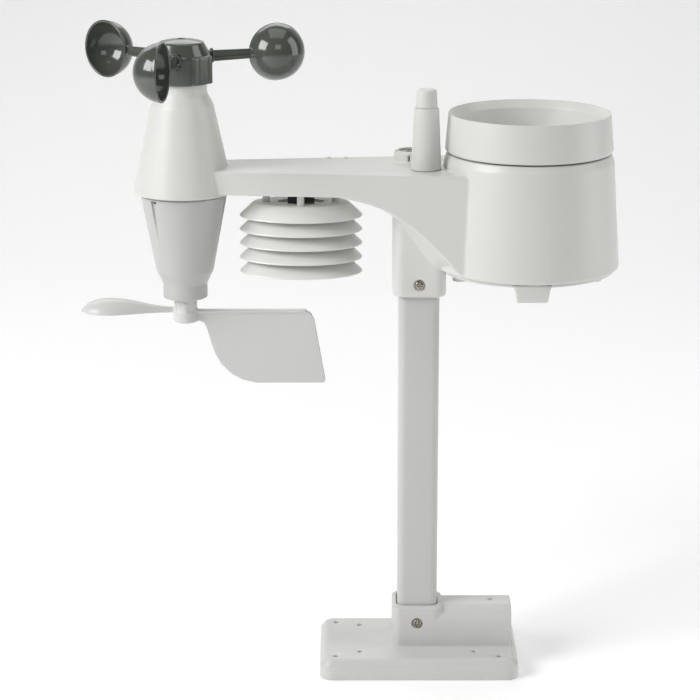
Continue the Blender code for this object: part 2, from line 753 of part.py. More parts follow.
def make_rain_collector():
    profile = [
        (48.0, COLLECTOR_TOP),
        (49.9, 323.0),
        (49.0, 321.6),
        (47.2, 321.6),
        (46.4, 337.5),
        (COLLECTOR_NECK, 336.5),
        (COLLECTOR_NECK, 305.6),
        (43.6, 305.6),
        (43.6, 323.9),
        (6.0, 299.8),
        (5.4, 294.4),
        (4.0, 294.4),
        (4.2, 300.8),
        (43.4, 326.0),
        (44.6, 339.5),
        (47.6, COLLECTOR_TOP),
    ]
    collector = turned(profile, GAUGE_SIDES, (GAUGE_X, 0))
    for angle in LUG_ANGLES:
        lug = wedge(angle - 4, angle + 4, COLLECTOR_NECK - 1.0, 47.2, 310.6, 314.2, (GAUGE_X, 0))
        joined(collector, lug)
    return finish(collector, "rain_collector", PLASTIC, (GAUGE_X, 0, 301.0))


def make_bucket_tray():
    floor_top = TRAY_BOTTOM + TRAY_FLOOR
    rim = [
        (0, TRAY_BOTTOM),
        (TRAY_RADIUS, TRAY_BOTTOM),
        (TRAY_RADIUS, 278.4),
        (TRAY_RADIUS - 1.2, 278.4),
        (TRAY_RADIUS - 1.2, floor_top),
        (0, floor_top),
    ]
    tray = turned(rim, 24, (GAUGE_X, 0))
    for offset in (-DRAIN_OFFSET, DRAIN_OFFSET):
        drain = (GAUGE_X + offset, 0.0)
        joined(tray, cylinder(4.6, 242.4, floor_top - 0.5, drain, 12))
        cut(tray, cylinder(3.2, 240.0, 282.4, drain, 12))
    for side in (-1, 1):
        low, high = sorted((side * 12.6, side * 14.8))
        post = block((GAUGE_X - 3.5, low, TRAY_BOTTOM + 0.8), (GAUGE_X + 3.5, high, BUCKET_PIVOT_Z + 2.9))
        cut(post, facing_front(cylinder(1.3, -20.0, 20.0, (0, 0), 8), GAUGE_X, 0.0, BUCKET_PIVOT_Z))
        x = GAUGE_X + side * 22.0
        stop = block((x - 1.5, -8.0, TRAY_BOTTOM + 0.8), (x + 1.5, 8.0, BUCKET_STOP_TOP))
        joined(tray, post, stop)
    return finish(tray, "bucket_tray", PLASTIC)


def make_tipping_bucket():
    """Two scoops back to back on a cross tube, built level and then tipped onto one stop."""
    outline = [(-27.0, 7.0), (-27.0, 5.4), (0.0, -2.8), (27.0, 5.4), (27.0, 7.0), (1.2, 14.0), (-1.2, 14.0)]
    bucket = lofted([[(x, y, z) for x, z in outline] for y in (-11.4, 11.4)])
    for side in (-1, 1):
        inner = ((28.0, 8.0), (28.0, 6.9), (0.9, -1.2), (0.9, 16.0), (28.0, 16.0))
        cut(bucket, lofted([[(side * x, y, z) for x, z in inner] for y in (-10.2, 10.2)]))
    cut(bucket, block((-30.0, -13.0, 12.0), (30.0, 13.0, 20.0)))
    joined(bucket, facing_front(cylinder(2.6, -12.2, 12.2, (0, 0), 12), 0.0, 0.0, 0.0))
    cut(bucket, facing_front(cylinder(1.3, -20.0, 20.0, (0, 0), 8), 0.0, 0.0, 0.0))
    tip = Matrix.Rotation(math.radians(-BUCKET_TILT), 4, "Y")
    place = Matrix.Translation((GAUGE_X, 0, BUCKET_PIVOT_Z))
    transformed(bucket, place @ tip)
    return finish(bucket, "tipping_bucket", DARK_PLASTIC, (GAUGE_X, 0, BUCKET_PIVOT_Z))


def make_bucket_details():
    pin = facing_front(cylinder(1.0, -15.0, 15.0, (0, 0), 8), GAUGE_X, 0.0, BUCKET_PIVOT_Z)
    finish(pin, "bucket_pin", STEEL)
    magnet = block((-2.0, 11.7, 4.0), (2.0, 13.4, 8.0))
    tip = Matrix.Rotation(math.radians(-BUCKET_TILT), 4, "Y")
    place = Matrix.Translation((GAUGE_X, 0, BUCKET_PIVOT_Z))
    finish(transformed(magnet, place @ tip), "bucket_magnet", MAGNET, (GAUGE_X, 0, BUCKET_PIVOT_Z))
    board = block((GAUGE_X - 9.0, 17.0, TRAY_BOTTOM + TRAY_FLOOR + GAP), (GAUGE_X + 9.0, 18.4, 294.4))
    joined(board, block((GAUGE_X - 7.0, 15.4, 285.4), (GAUGE_X + 7.0, 17.2, 287.6)))
    finish(board, "reed_board", BOARD)


# Wind tower


def make_lower_cone():
    profile = [
        (25.8, 301.0),
        (26.0, 296.5),
        (17.4, 250.6),
        (16.9, 248.6),
        (13.5, 241.8),
        (13.3, 241.2),
        (13.3, 233.6),
        (12.2, 232.4),
        (5.4, 232.4),
        (5.4, 239.0),
        (11.2, 239.0),
        (14.9, 248.2),
        (15.6, 252.2),
        (23.9, 296.5),
        (24.0, 301.0),
    ]
    cone = turned(profile, TOWER_SIDES, (TOWER_X, 0))
    for angle in (228.5, 348.5, 108.5):
        # Snap tab: a tapering recess below a small slot
        recess = [(24.4, -1.7, 294.4), (30.0, -1.7, 294.4), (30.0, 1.7, 294.4), (24.4, 1.7, 294.4)]
        tail = [(20.4, -0.5, 268.0), (30.0, -0.5, 268.0), (30.0, 0.5, 268.0), (20.4, 0.5, 268.0)]
        notch = lofted([tail, recess])
        slot = block((20.0, -1.5, 293.0), (30.0, 1.5, 294.5))
        joined(notch, slot)
        place = Matrix.Translation((TOWER_X, 0, 0)) @ Matrix.Rotation(math.radians(angle), 4, "Z")
        cut(cone, transformed(notch, place))
    return finish(cone, "lower_cone", PLASTIC)


def make_anemometer_drive():
    tower = (TOWER_X, 0)
    axis = (TOWER_X, 0, CUP_Z)
    finish(cylinder(SHAFT_RADIUS, 329.0, 381.0, tower, 12), "cup_shaft", STEEL, axis)
    bearing = BEARING_OUTER, SHAFT_RADIUS + GAP
    finish(ring(*bearing, 361.3, 364.7, tower), "cup_bearing_upper", STEEL)
    finish(ring(*bearing, 334.3, 339.2, tower), "cup_bearing_lower", STEEL)
    finish(ring(5.0, SHAFT_RADIUS + GAP, 329.4, 332.4, tower), "cup_magnet", MAGNET, axis)


def make_cup_hub():
    tower = (TOWER_X, 0)
    profile = [
        (15.6, 362.0),
        (17.4, 362.0),
        (17.4, 378.6),
        (13.6, 385.2),
        (12.4, 386.0),
        (0, 388.0),
        (0, 377.5),
        (15.4, 377.5),
    ]
    hub = turned(profile, 32, tower)
    joined(hub, cylinder(4.2, 366.4, 380.0, tower, 12))
    cut(hub, cylinder(SHAFT_RADIUS + GAP, 360.0, 381.3, tower, 12))
    cut(hub, cylinder(1.2, 380.0, 390.0, tower, 12), cylinder(2.3, 384.0, 390.0, tower, 12))
    centre = Matrix.Translation((TOWER_X, 0, 0))
    for angle in CUP_ARM_ANGLES:
        # Raised pad between two arms
        pad = rounded_rectangle(3.0, 15.0, 1.0, 2)
        turn = centre @ Matrix.Rotation(math.radians(angle - 60), 4, "Z")
        joined(hub, transformed(prism(moved(pad, 16.8, 0.0), 362.4, 378.6), turn))
        # Pocket that takes the root of an arm
        turn = centre @ Matrix.Rotation(math.radians(angle), 4, "Z")
        cut(hub, transformed(block((14.0, -3.6, 373.4), (22.0, 3.6, 380.6)), turn))
    return finish(hub, "cup_hub", CUP_PLASTIC, (TOWER_X, 0, CUP_Z))


def make_hub_screw():
    screw = pan_screw(0.9, 381.8, 384.3, 2.0, 1.3)
    place = Matrix.Translation((TOWER_X, 0, 0))
    return finish(transformed(screw, place), "hub_screw", STEEL, (TOWER_X, 0, CUP_Z))


def cup_bowl():
    """Half a hollow ball round its rim's centre, open towards +Y, with a thin bead at the rim."""
    inner_radius = CUP_RADIUS - CUP_WALL
    steps = 6
    profile = [(CUP_RADIUS + 0.25, 0.0), (CUP_RADIUS + 0.25, 0.8), (CUP_RADIUS - 0.02, 1.0)]
    for i in range(1, steps):
        angle = math.radians(90 * i / steps)
        profile.append((CUP_RADIUS * math.cos(angle), max(CUP_RADIUS * math.sin(angle), 1.1)))
    profile += [(0, CUP_RADIUS), (0, inner_radius)]
    for i in reversed(range(1, steps)):
        angle = math.radians(90 * i / steps)
        profile.append((inner_radius * math.cos(angle), inner_radius * math.sin(angle)))
    profile.append((inner_radius, 0.0))
    return transformed(turned(profile, 20), Matrix.Rotation(math.pi / 2, 4, "X"))


def make_cups():
    reach = CUP_RIM_DISTANCE - CUP_RADIUS
    for number, angle in enumerate(CUP_ARM_ANGLES, 1):
        cup = transformed(cup_bowl(), Matrix.Translation((CUP_RIM_DISTANCE, CUP_OFFSET, 0)))
        # Arm: an upright web on a wider flange, meeting the bowl just behind its rim
        root, tip = 14.6, reach + 0.9
        web = lofted(
            [
                [(root, -1.0, -3.0), (root, 1.0, -3.0), (root, 1.0, 3.4), (root, -1.0, 3.4)],
                [(tip, 0.6, -2.6), (tip, 2.6, -2.6), (tip, 2.6, 3.0), (tip, 0.6, 3.0)],
            ]
        )
        flange = lofted(
            [
                [(root, -3.0, -3.0), (root, 3.0, -3.0), (root, 3.0, -1.4), (root, -3.0, -1.4)],
                [(tip, -1.4, -2.6), (tip, 3.0, -2.6), (tip, 3.0, -1.2), (tip, -1.4, -1.2)],
            ]
        )
        bulk = block((root, -3.0, -3.0), (18.6, 3.0, 3.4))
        joined(cup, joined(web, flange, bulk))
        turn = Matrix.Rotation(math.radians(angle), 4, "Z")
        place = Matrix.Translation((TOWER_X, 0, CUP_Z))
        finish(transformed(cup, place @ turn), f"wind_cup_{number}", CUP_PLASTIC, (TOWER_X, 0, CUP_Z))


def vane_tail():
    outline = [
        (5.0, 224.0),
        (72.0, 224.0),
        (75.2, 222.4),
        (77.6, 217.8),
        (84.0, 180.6),
        (83.4, 178.9),
        (82.0, 178.6),
        (42.0, 178.6),
        (33.6, 180.6),
        (26.6, 184.6),
        (21.0, 190.2),
        (17.2, 196.8),
        (14.8, 204.0),
        (12.4, 213.0),
        (10.6, 216.4),
        (5.0, 218.4),
    ]
    return lofted([[(x, y, z) for x, z in outline] for y in (-0.9, 0.9)])


def vane_nose():
    """Teardrop counterweight: flat underneath and domed on top, one half-oval section at each distance."""
    stations = [(4.0, 3.0, 2.4), (14.0, 4.2, 3.2), (22.0, 6.0, 4.4), (28.0, 7.8, 5.8), (34.0, 9.6, 6.9)]
    stations += [(40.0, 11.5, 7.6), (46.0, 12.3, 7.9), (52.0, 11.9, 7.6), (57.5, 9.4, 6.2), (61.0, 6.2, 4.1)]
    stations += [(63.0, 1.6, 1.2)]
    loops = []
    for distance, half, rise in stations:
        angles = [math.pi * i / 8 for i in range(9)]
        loop = [(-distance, half * math.cos(a), NOSE_BOTTOM + rise * math.sin(a)) for a in angles]
        loops.append(loop)
    return lofted(loops)


def make_vane():
    hub = turned(
        [
            (0, 217.0),
            (5.6, 217.0),
            (7.0, 218.2),
            (7.3, 219.6),
            (7.3, 224.2),
            (6.8, 224.6),
            (6.8, 231.9),
            (2.3, 231.9),
            (2.3, 222.0),
            (0, 222.0),
        ],
        20,
    )
    flange = block((5.0, -2.2, 222.8), (72.0, 2.2, 224.4))
    joined(hub, vane_tail(), flange, vane_nose())
    place = Matrix.Translation((TOWER_X, 0, 0))
    return finish(transformed(hub, place), "wind_vane", PLASTIC, (TOWER_X, 0, 222.0))


def make_vane_drive():
    tower = (TOWER_X, 0)
    axis = (TOWER_X, 0, 222.0)
    finish(cylinder(VANE_SHAFT_RADIUS, 222.3, 262.0, tower, 12), "vane_shaft", STEEL, axis)
    finish(ring(5.1, VANE_SHAFT_RADIUS + GAP, 233.4, 238.6, tower), "vane_bearing", BRASS)
    finish(ring(6.0, VANE_SHAFT_RADIUS + GAP, 258.0, 261.5, tower), "vane_magnet", MAGNET, axis)


def make_sensor_cable():
    """The cable from both sensor boards through the arm to the circuit board under the rain gauge."""
    to_wind_board = [(-133.0, 6.8, 296.0), (-126.0, 6.8, 303.2), (-112.0, 6.0, 305.5), (-60.0, 6.0, 305.5)]
    to_main_board = [(10.0, 9.0, 305.5), (16.6, 9.0, 303.6), (17.8, 9.0, 297.0), (17.8, 9.0, 272.0)]
    to_main_board += [(20.5, 9.0, 266.4), (27.0, 9.0, 266.4)]
    cable = swept(to_wind_board + to_main_board, CABLE_RADIUS, 6)
    branch = swept([(-66.0, 2.2, 301.6), (-64.0, 3.4, 304.0), (-58.0, 6.0, 305.5)], CABLE_RADIUS, 6)
    return finish(joined(cable, branch), "sensor_cable", DARK_PLASTIC)


def make_wind_board():
    board = block((TOWER_X - 12.0, 8.0, 256.0), (TOWER_X + 12.0, 9.6, 326.0))
    joined(board, block((TOWER_X - 5.0, -5.0, 264.0), (TOWER_X + 5.0, 8.4, 265.6)))
    joined(board, block((TOWER_X - 5.0, -5.0, 324.4), (TOWER_X + 5.0, 8.4, 326.0)))
    return finish(board, "wind_board", BOARD)


# Radiation shield


def louvre_loop(inset, z, count=28):
    half_x, half_y = LOUVRE_HALF
    return [(SHIELD_X + x, y, z) for x, y in oval(half_x - inset, half_y - inset, count)]


def make_louvres():
    for number, lip in enumerate(LOUVRE_LIPS, 1):
        flat = lip + LOUVRE_RISE
        outside = [(1.2, lip - 0.5), (0.0, lip + 0.3)]
        outside += [(LOUVRE_SKIRT - 0.8, flat - 0.3), (LOUVRE_SKIRT, flat)]
        louvre = lofted([louvre_loop(inset, z) for inset, z in outside])
        under = flat - LOUVRE_THICKNESS
        inside = [(1.7, lip - 2.0), (1.7, lip), (LOUVRE_SKIRT + 0.2, under)]
        cut(louvre, lofted([louvre_loop(inset, z) for inset, z in inside]))
        if number < len(LOUVRE_LIPS):
            cut(louvre, prism(moved(oval(*LOUVRE_HOLE, 16), SHIELD_X, 0), lip, flat + 2))
        above = COVER_TOP - 2.0
        if number > 1:
            above = LOUVRE_LIPS[number - 2] + LOUVRE_RISE - LOUVRE_THICKNESS
        for x, y in SHIELD_RODS:
            centre = (SHIELD_X + x, y)
            joined(louvre, cylinder(2.3, flat - 0.8, above - GAP, centre, 8))
            cut(louvre, cylinder(SHIELD_ROD_RADIUS + GAP, lip - 2, above + 2, centre, 6))
        finish(louvre, f"louvre_{number}", PLASTIC)


def make_shield_rods():
    under = LOUVRE_LIPS[-1] + LOUVRE_RISE - LOUVRE_THICKNESS - GAP
    for number, (x, y) in enumerate(SHIELD_RODS, 1):
        screw = pan_screw(SHIELD_ROD_RADIUS, under - 309.0, 0.0, 2.2, 1.5)
        place = Matrix.Translation((SHIELD_X + x, y, under)) @ Matrix.Rotation(math.pi, 4, "X")
        finish(transformed(screw, place), f"shield_rod_{number}", STEEL)


def make_thermo_board():
    board = block((SHIELD_X - 8.0, -0.8, 262.0), (SHIELD_X + 8.0, 0.8, 303.0))
    joined(board, block((SHIELD_X - 3.0, -3.0, 264.0), (SHIELD_X + 3.0, 0.0, 270.0)))
    return finish(board, "thermo_board", BOARD)


def main():
    clear_scene()
    make_base_stand()
    make_mast()
    make_mast_fasteners()
    make_body_shell()
    make_arm_cover()
    make_housing_floor()
    make_floor_screws()
    make_battery_door()
    make_reset_button()
    make_reset_spring()
    make_led_lens()
    make_antenna()
    make_level()
    make_main_board()
    make_cells()
    make_contacts()
    make_rain_collector()
    make_bucket_tray()
    make_tipping_bucket()
    make_bucket_details()
    make_lower_cone()
    make_anemometer_drive()
    make_cup_hub()
    make_hub_screw()
    make_cups()
    make_vane()
    make_vane_drive()
    make_wind_board()
    make_sensor_cable()
    make_louvres()
    make_shield_rods()
    make_thermo_board()


main()
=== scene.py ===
"""Looks of the outdoor weather station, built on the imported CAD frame.

Pieces are modelled in millimetres in the CAD's own frame (mast axis on Z, rain gauge towards +X, front
towards -Y) and written in metres. Moulded pieces are sculpted from distance functions, which gives them
the soft fillets of injection moulding; turned pieces are lathed from their profiles.
"""

import math

import bmesh
import bpy
import numpy as np
from mathutils import Matrix, Vector


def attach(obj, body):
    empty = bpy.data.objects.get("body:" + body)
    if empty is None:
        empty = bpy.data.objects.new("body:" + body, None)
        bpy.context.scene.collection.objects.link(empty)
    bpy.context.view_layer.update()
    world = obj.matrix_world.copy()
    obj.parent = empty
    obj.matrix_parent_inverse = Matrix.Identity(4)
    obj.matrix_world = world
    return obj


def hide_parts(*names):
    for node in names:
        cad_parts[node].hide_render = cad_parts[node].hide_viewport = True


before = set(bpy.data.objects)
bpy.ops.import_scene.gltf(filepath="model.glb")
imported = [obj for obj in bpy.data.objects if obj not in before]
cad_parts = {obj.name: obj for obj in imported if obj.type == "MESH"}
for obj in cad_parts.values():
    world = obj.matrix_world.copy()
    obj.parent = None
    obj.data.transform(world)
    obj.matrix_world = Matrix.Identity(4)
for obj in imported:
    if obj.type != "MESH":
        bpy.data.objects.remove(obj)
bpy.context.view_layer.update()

MM = 0.001

# Main dimensions, as in the CAD
GAUGE = (64.8, 0.0)
TOWER = (-140.3, 0.0)
SHIELD = (-70.6, 0.0)
LEVEL = (-4.0, 17.0)
ANTENNA = (3.5, -10.0)
ARM_TOP = 312.0
ARM_HALF_AT_ZERO = 31.9
ARM_BACK_EXTRA = 2.4
ARM_TAPER = 0.106
SIDE_DRAFT = 0.055
SOCKET_HALF = 16.0
SOCKET_BOTTOM = 235.0
HOUSING_BOTTOM = 252.0
HOUSING_TOP = 320.6
MAST_HALF = 12.2
MAST_CORNER = 4.6
SCREW_HEIGHTS = {"base": 28.5, "head": 243.0}
COLLECTOR_TOP = 344.4
CUP_ANGLES = (19.5, 139.5, 259.5)
CUP_Z = 376.8
CUP_REACH = 59.8
CUP_RADIUS = 17.06
CUP_WALL = 1.15
CUP_OFFSET = 4.4
LIPS = (282.6, 274.1, 265.7, 257.2, 248.6)
LOUVRE_RISE = 8.2
LOUVRE_THICKNESS = 1.6
LOUVRE_HALF = (36.6, 25.0)
SNAP_ANGLES = (228.5, 348.5, 108.5)
RODS = ((-20.7, 0.0), (20.7, 0.0), (0.0, -13.0), (0.0, 13.0))
BASE_HOLES = [(sx * x, sy * y) for x, y in ((50.1, 28.5), (35.2, 22.6)) for sx in (1, -1) for sy in (1, -1)]
ARM_COVER_BOTTOM = 298.1
BASE_SOCKET_HALF = 15.4

# Looks
HEAD_WHITE = (0.70, 0.706, 0.672)
# Painted light: the louvre white is lighter than the head's white to paint in the light that falls on the
# louvres
LOUVRE_LIT_WHITE = (0.81, 0.817, 0.778)
# Painted shade: the base white is darker than the head's white to paint in the shade on the base; its more
# neutral tint is the plastic's own
BASE_SHADED_WHITE = (0.645, 0.645, 0.632)
# Painted shade: the mast white is darker than the head's white to paint in the shade on the mast; its more
# neutral tint is the plastic's own
MAST_SHADED_WHITE = (0.595, 0.595, 0.583)
# Painted shade: the tower foot white is darker than the head's white to paint in the shade on the lower
# cone
TOWER_FOOT_SHADED_WHITE = (0.53, 0.53, 0.52)
# Painted shade: the vane white is darker than the head's white to paint in the shade on the vane; its more
# neutral tint is the plastic's own
VANE_SHADED_WHITE = (0.66, 0.66, 0.647)
CUP_GREY = (0.083, 0.092, 0.077)

# Light: place in metres, width and height in metres, power in watts
LIT_POINT = (-0.03, 0.0, 0.22)
LIGHTS = {
    "softbox_left": ((-1.40, -0.75, 1.11), (1.03, 0.90), 25.0),
    "softbox_right": ((1.68, -0.165, 0.785), (1.00, 2.20), 15.5),
    "softbox_top": ((0.0, 0.0, 1.90), (1.40, 1.40), 7.0),
    "softbox_front": ((0.30, -2.30, 1.50), (1.00, 0.80), 4.5),
    "softbox_back": ((-0.30, 1.30, 1.30), (1.60, 0.80), 6.0),
}
WORLD_STRENGTH = 0.05
FLOOR_GLOW = 0.19

# Underside of the head at each X: height at the side faces, height at the mast socket's faces
UNDERSIDE = [
    (-130.0, 298.3, 298.3),
    (-47.0, 298.3, 298.0),
    (-36.0, 296.0, 295.0),
    (-26.0, 293.2, 291.5),
    (-16.5, 289.0, 285.0),
    (-11.0, 285.2, 279.8),
    (-3.0, 279.6, 270.0),
    (4.5, 273.0, 259.7),
    (9.0, 268.5, 254.6),
    (15.0, 263.0, 252.2),
    (19.0, 257.6, 252.0),
    (23.0, 253.8, 252.0),
    (34.0, 252.0, 252.0),
]


# Distance functions. Each takes an array of points in millimetres and is negative inside.


def round_max(a, b, radius):
    """Intersection of two shapes with their common edge rounded."""
    outside = np.hypot(np.maximum(a + radius, 0), np.maximum(b + radius, 0))
    return np.minimum(np.maximum(a, b) + radius, 0) + outside - radius


def round_min(a, b, radius):
    """Union of two shapes with a fillet between them."""
    return -round_max(-a, -b, radius)


def carve(a, b, radius):
    """The first shape without the second, with the cut's edge rounded."""
    return round_max(a, -b, radius)


def rounded_rectangle(u, v, half_u, half_v, corner):
    du = np.abs(u) - (half_u - corner)
    dv = np.abs(v) - (half_v - corner)
    return np.hypot(np.maximum(du, 0), np.maximum(dv, 0)) + np.minimum(np.maximum(du, dv), 0) - corner


def slab(z, low, high):
    return np.abs(z - (low + high) / 2) - (high - low) / 2


def radius_from(points, centre):
    return np.hypot(points[:, 0] - centre[0], points[:, 1] - centre[1])


def cone(r, z, first, second):
    """Distance outside the line through two (radius, z) points, the lower one first."""
    run, rise = second[0] - first[0], second[1] - first[1]
    length = math.hypot(run, rise)
    return ((r - first[0]) * rise - (z - first[1]) * run) / length


def polygon(u, v, outline):
    """Signed distance to a closed outline."""
    nearest = np.full(u.shape, np.inf)
    inside = np.zeros(u.shape, bool)
    for (u0, v0), (u1, v1) in zip(outline, outline[1:] + outline[:1]):
        du, dv = u1 - u0, v1 - v0
        along = np.clip(((u - u0) * du + (v - v0) * dv) / (du * du + dv * dv), 0, 1)
        nearest = np.minimum(nearest, (u - u0 - along * du) ** 2 + (v - v0 - along * dv) ** 2)
        if dv:
            crosses = (v0 <= v) != (v1 <= v)
            inside ^= crosses & (u < u0 + (v - v0) * du / dv)
    return np.where(inside, -1, 1) * np.sqrt(nearest)


def turned_points(points, degrees, centre=(0.0, 0.0)):
    """The points as seen from a frame turned about Z at the centre, with that centre at its origin."""
    angle = math.radians(degrees)
    x = points[:, 0] - centre[0]
    y = points[:, 1] - centre[1]
    along = x * math.cos(angle) + y * math.sin(angle)
    across = y * math.cos(angle) - x * math.sin(angle)
    return np.stack([along, across, points[:, 2]], axis=1)


# Meshing of distance functions

CORNERS = np.array([(i, j, k) for i in (0, 1) for j in (0, 1) for k in (0, 1)])
EDGES = [(a, b) for a in range(8) for b in range(a + 1, 8) if np.abs(CORNERS[a] - CORNERS[b]).sum() == 1]
BLOCK = 8  # grid steps per block of the coarse search
CHUNK = 400_000  # points evaluated at a time


def evaluated(distance, points):
    parts = [distance(points[i : i + CHUNK]) for i in range(0, len(points), CHUNK)]
    return np.concatenate(parts)


def sampled_field(distance, low, step, blocks):
    """The distance on a grid, worked out in full only in the blocks that the surface may pass through."""
    shape = tuple(blocks * BLOCK)
    at = np.stack(np.meshgrid(*[np.arange(n) for n in blocks], indexing="ij"), axis=-1).reshape(-1, 3)
    centres = low + (at + 0.5) * BLOCK * step
    coarse = evaluated(distance, centres)
    field = np.repeat(coarse.reshape(blocks), BLOCK, 0).repeat(BLOCK, 1).repeat(BLOCK, 2).astype(np.float32)
    near = at[np.abs(coarse) < 1.1 * BLOCK * step]
    within = np.stack(np.meshgrid(*[np.arange(BLOCK)] * 3, indexing="ij"), axis=-1).reshape(-1, 3)
    cells = (near[:, None, :] * BLOCK + within[None]).reshape(-1, 3)
    values = evaluated(distance, low + cells * step)
    field[cells[:, 0], cells[:, 1], cells[:, 2]] = values
    return field, shape


def surface_quads(index, solid):
    """One quad across every grid edge that the surface crosses, facing outwards."""
    quads = []
    for axis in range(3):
        one, two = (axis + 1) % 3, (axis + 2) % 3
        first = np.moveaxis(solid, (axis, one, two), (0, 1, 2))
        cells = np.moveaxis(index, (axis, one, two), (0, 1, 2))
        low, high = first[:-1, 1:-1, 1:-1], first[1:, 1:-1, 1:-1]
        at = np.argwhere(low != high)
        i, j, k = at[:, 0], at[:, 1] + 1, at[:, 2] + 1
        around = [cells[i, j - 1, k - 1], cells[i, j, k - 1], cells[i, j, k], cells[i, j - 1, k]]
        quad = np.stack(around, axis=1)
        leaving = first[i, j, k]
        quads.append(np.where(leaving[:, None], quad, quad[:, ::-1]))
    return np.concatenate(quads)


def surface_of(distance, low, high, step):
    """Vertices and quads of the surface, with every vertex drawn onto the exact shape."""
    low = np.array(low, float) - 2 * step
    blocks = np.ceil((np.array(high, float) + 2 * step - low) / (BLOCK * step)).astype(int)
    field, shape = sampled_field(distance, low, step, blocks)
    solid = field < 0
    corner_views = [
        solid[i : shape[0] - 1 + i, j : shape[1] - 1 + j, k : shape[2] - 1 + k] for i, j, k in CORNERS
    ]
    mixed = np.logical_or.reduce(corner_views) & ~np.logical_and.reduce(corner_views)
    cells = np.argwhere(mixed)
    index = np.full(mixed.shape, -1, np.int32)
    index[mixed] = np.arange(len(cells))
    values = np.stack([field[tuple((cells + corner).T)] for corner in CORNERS], axis=1)
    total = np.zeros((len(cells), 3))
    count = np.zeros(len(cells))
    for a, b in EDGES:
        crossed = (values[:, a] < 0) != (values[:, b] < 0)
        share = values[crossed, a] / (values[crossed, a] - values[crossed, b])
        total[crossed] += CORNERS[a] + share[:, None] * (CORNERS[b] - CORNERS[a])
        count[crossed] += 1
    points = low + (cells + total / count[:, None]) * step
    return drawn_onto(distance, points, step), surface_quads(index, solid)


def drawn_onto(distance, points, step, rounds=3):
    """Moves each point along the gradient onto the surface, never further than a grid step."""
    start = points.copy()
    nudge = 0.04 * step
    for _ in range(rounds):
        value = evaluated(distance, points)
        gradient = np.empty_like(points)
        for axis in range(3):
            shift = np.zeros(3)
            shift[axis] = nudge
            ahead = evaluated(distance, points + shift)
            behind = evaluated(distance, points - shift)
            gradient[:, axis] = (ahead - behind) / (2 * nudge)
        size = np.maximum((gradient**2).sum(axis=1), 0.05)
        points = points - gradient * (value / size)[:, None] * 0.9
    move = points - start
    length = np.linalg.norm(move, axis=1)
    return start + move * np.minimum(1, 0.9 * step / np.maximum(length, 1e-9))[:, None]


# Blender objects


def object_from(name, points, faces, smooth_angle=None):
    """A shaded object from points in millimetres and faces of equal length."""
    mesh = bpy.data.meshes.new(name)
    faces = np.asarray(faces)
    size = faces.shape[1]
    mesh.vertices.add(len(points))
    mesh.vertices.foreach_set("co", (np.asarray(points, np.float32) * MM).ravel())
    mesh.loops.add(faces.size)
    mesh.loops.foreach_set("vertex_index", faces.astype(np.int32).ravel())
    mesh.polygons.add(len(faces))
    mesh.polygons.foreach_set("loop_start", np.arange(len(faces), dtype=np.int32) * size)
    mesh.update(calc_edges=True)
    mesh.validate()
    obj = bpy.data.objects.new(name, mesh)
    bpy.context.collection.objects.link(obj)
    mesh.shade_smooth()
    if smooth_angle is not None:
        mesh.set_sharp_from_angle(angle=math.radians(smooth_angle))
    return obj


def sculpted(name, distance, low, high, step):
    return object_from(name, *surface_of(distance, low, high, step))


def lathed(name, profile, centre, count=128, smooth_angle=35):
    """A closed solid of revolution from (radius, z) points; radius 0 is on the axis."""
    points, rings = [], []
    for radius, z in profile:
        around = 1 if radius == 0 else count
        rings.append(list(range(len(points), len(points) + around)))
        for i in range(around):
            angle = 2 * math.pi * i / count
            points.append((centre[0] + radius * math.cos(angle), centre[1] + radius * math.sin(angle), z))
    faces = []
    for low, high in zip(rings, rings[1:] + rings[:1]):
        if len(low) == len(high) == 1:
            continue
        for i in range(count):
            j = (i + 1) % count
            corners = [low[i % len(low)], low[j % len(low)], high[j % len(high)], high[i % len(high)]]
            faces.append(list(dict.fromkeys(corners)))
    return object_from_polygons(name, points, faces, smooth_angle)


def object_from_polygons(name, points, faces, smooth_angle=35):
    """A shaded object from points in millimetres and faces of any length, turned outwards."""
    mesh = bpy.data.meshes.new(name)
    mesh.from_pydata([(x * MM, y * MM, z * MM) for x, y, z in points], [], faces)
    bm = bmesh.new()
    bm.from_mesh(mesh)
    bmesh.ops.recalc_face_normals(bm, faces=bm.faces)
    bm.to_mesh(mesh)
    bm.free()
    obj = bpy.data.objects.new(name, mesh)
    bpy.context.collection.objects.link(obj)
    mesh.shade_smooth()
    mesh.set_sharp_from_angle(angle=math.radians(smooth_angle))
    return obj


def softened(profile, radius, steps=4):
    """The profile with each corner off the axis replaced by an arc-like curve."""
    rounded = []
    count = len(profile)
    for i, point in enumerate(profile):
        corner = Vector(point)
        before = Vector(profile[i - 1]) - corner
        after = Vector(profile[(i + 1) % count]) - corner
        reach = min(radius, before.length * 0.45, after.length * 0.45)
        if point[0] == 0 or reach < 0.02:
            rounded.append(tuple(point))
            continue
        start = corner + before.normalized() * reach
        end = corner + after.normalized() * reach
        for step in range(steps + 1):
            share = step / steps
            bend = start * (1 - share) ** 2 + corner * 2 * share * (1 - share) + end * share**2
            rounded.append(tuple(bend))
    return rounded


def copied(obj, name, matrix):
    """Another object with the same shape, moved by a matrix in metres."""
    mesh = obj.data.copy()
    mesh.name = name
    mesh.transform(matrix)
    made = bpy.data.objects.new(name, mesh)
    bpy.context.collection.objects.link(made)
    return made


def turn_about(centre, degrees):
    there = Matrix.Translation((centre[0] * MM, centre[1] * MM, 0))
    return there @ Matrix.Rotation(math.radians(degrees), 4, "Z") @ there.inverted()


# Head


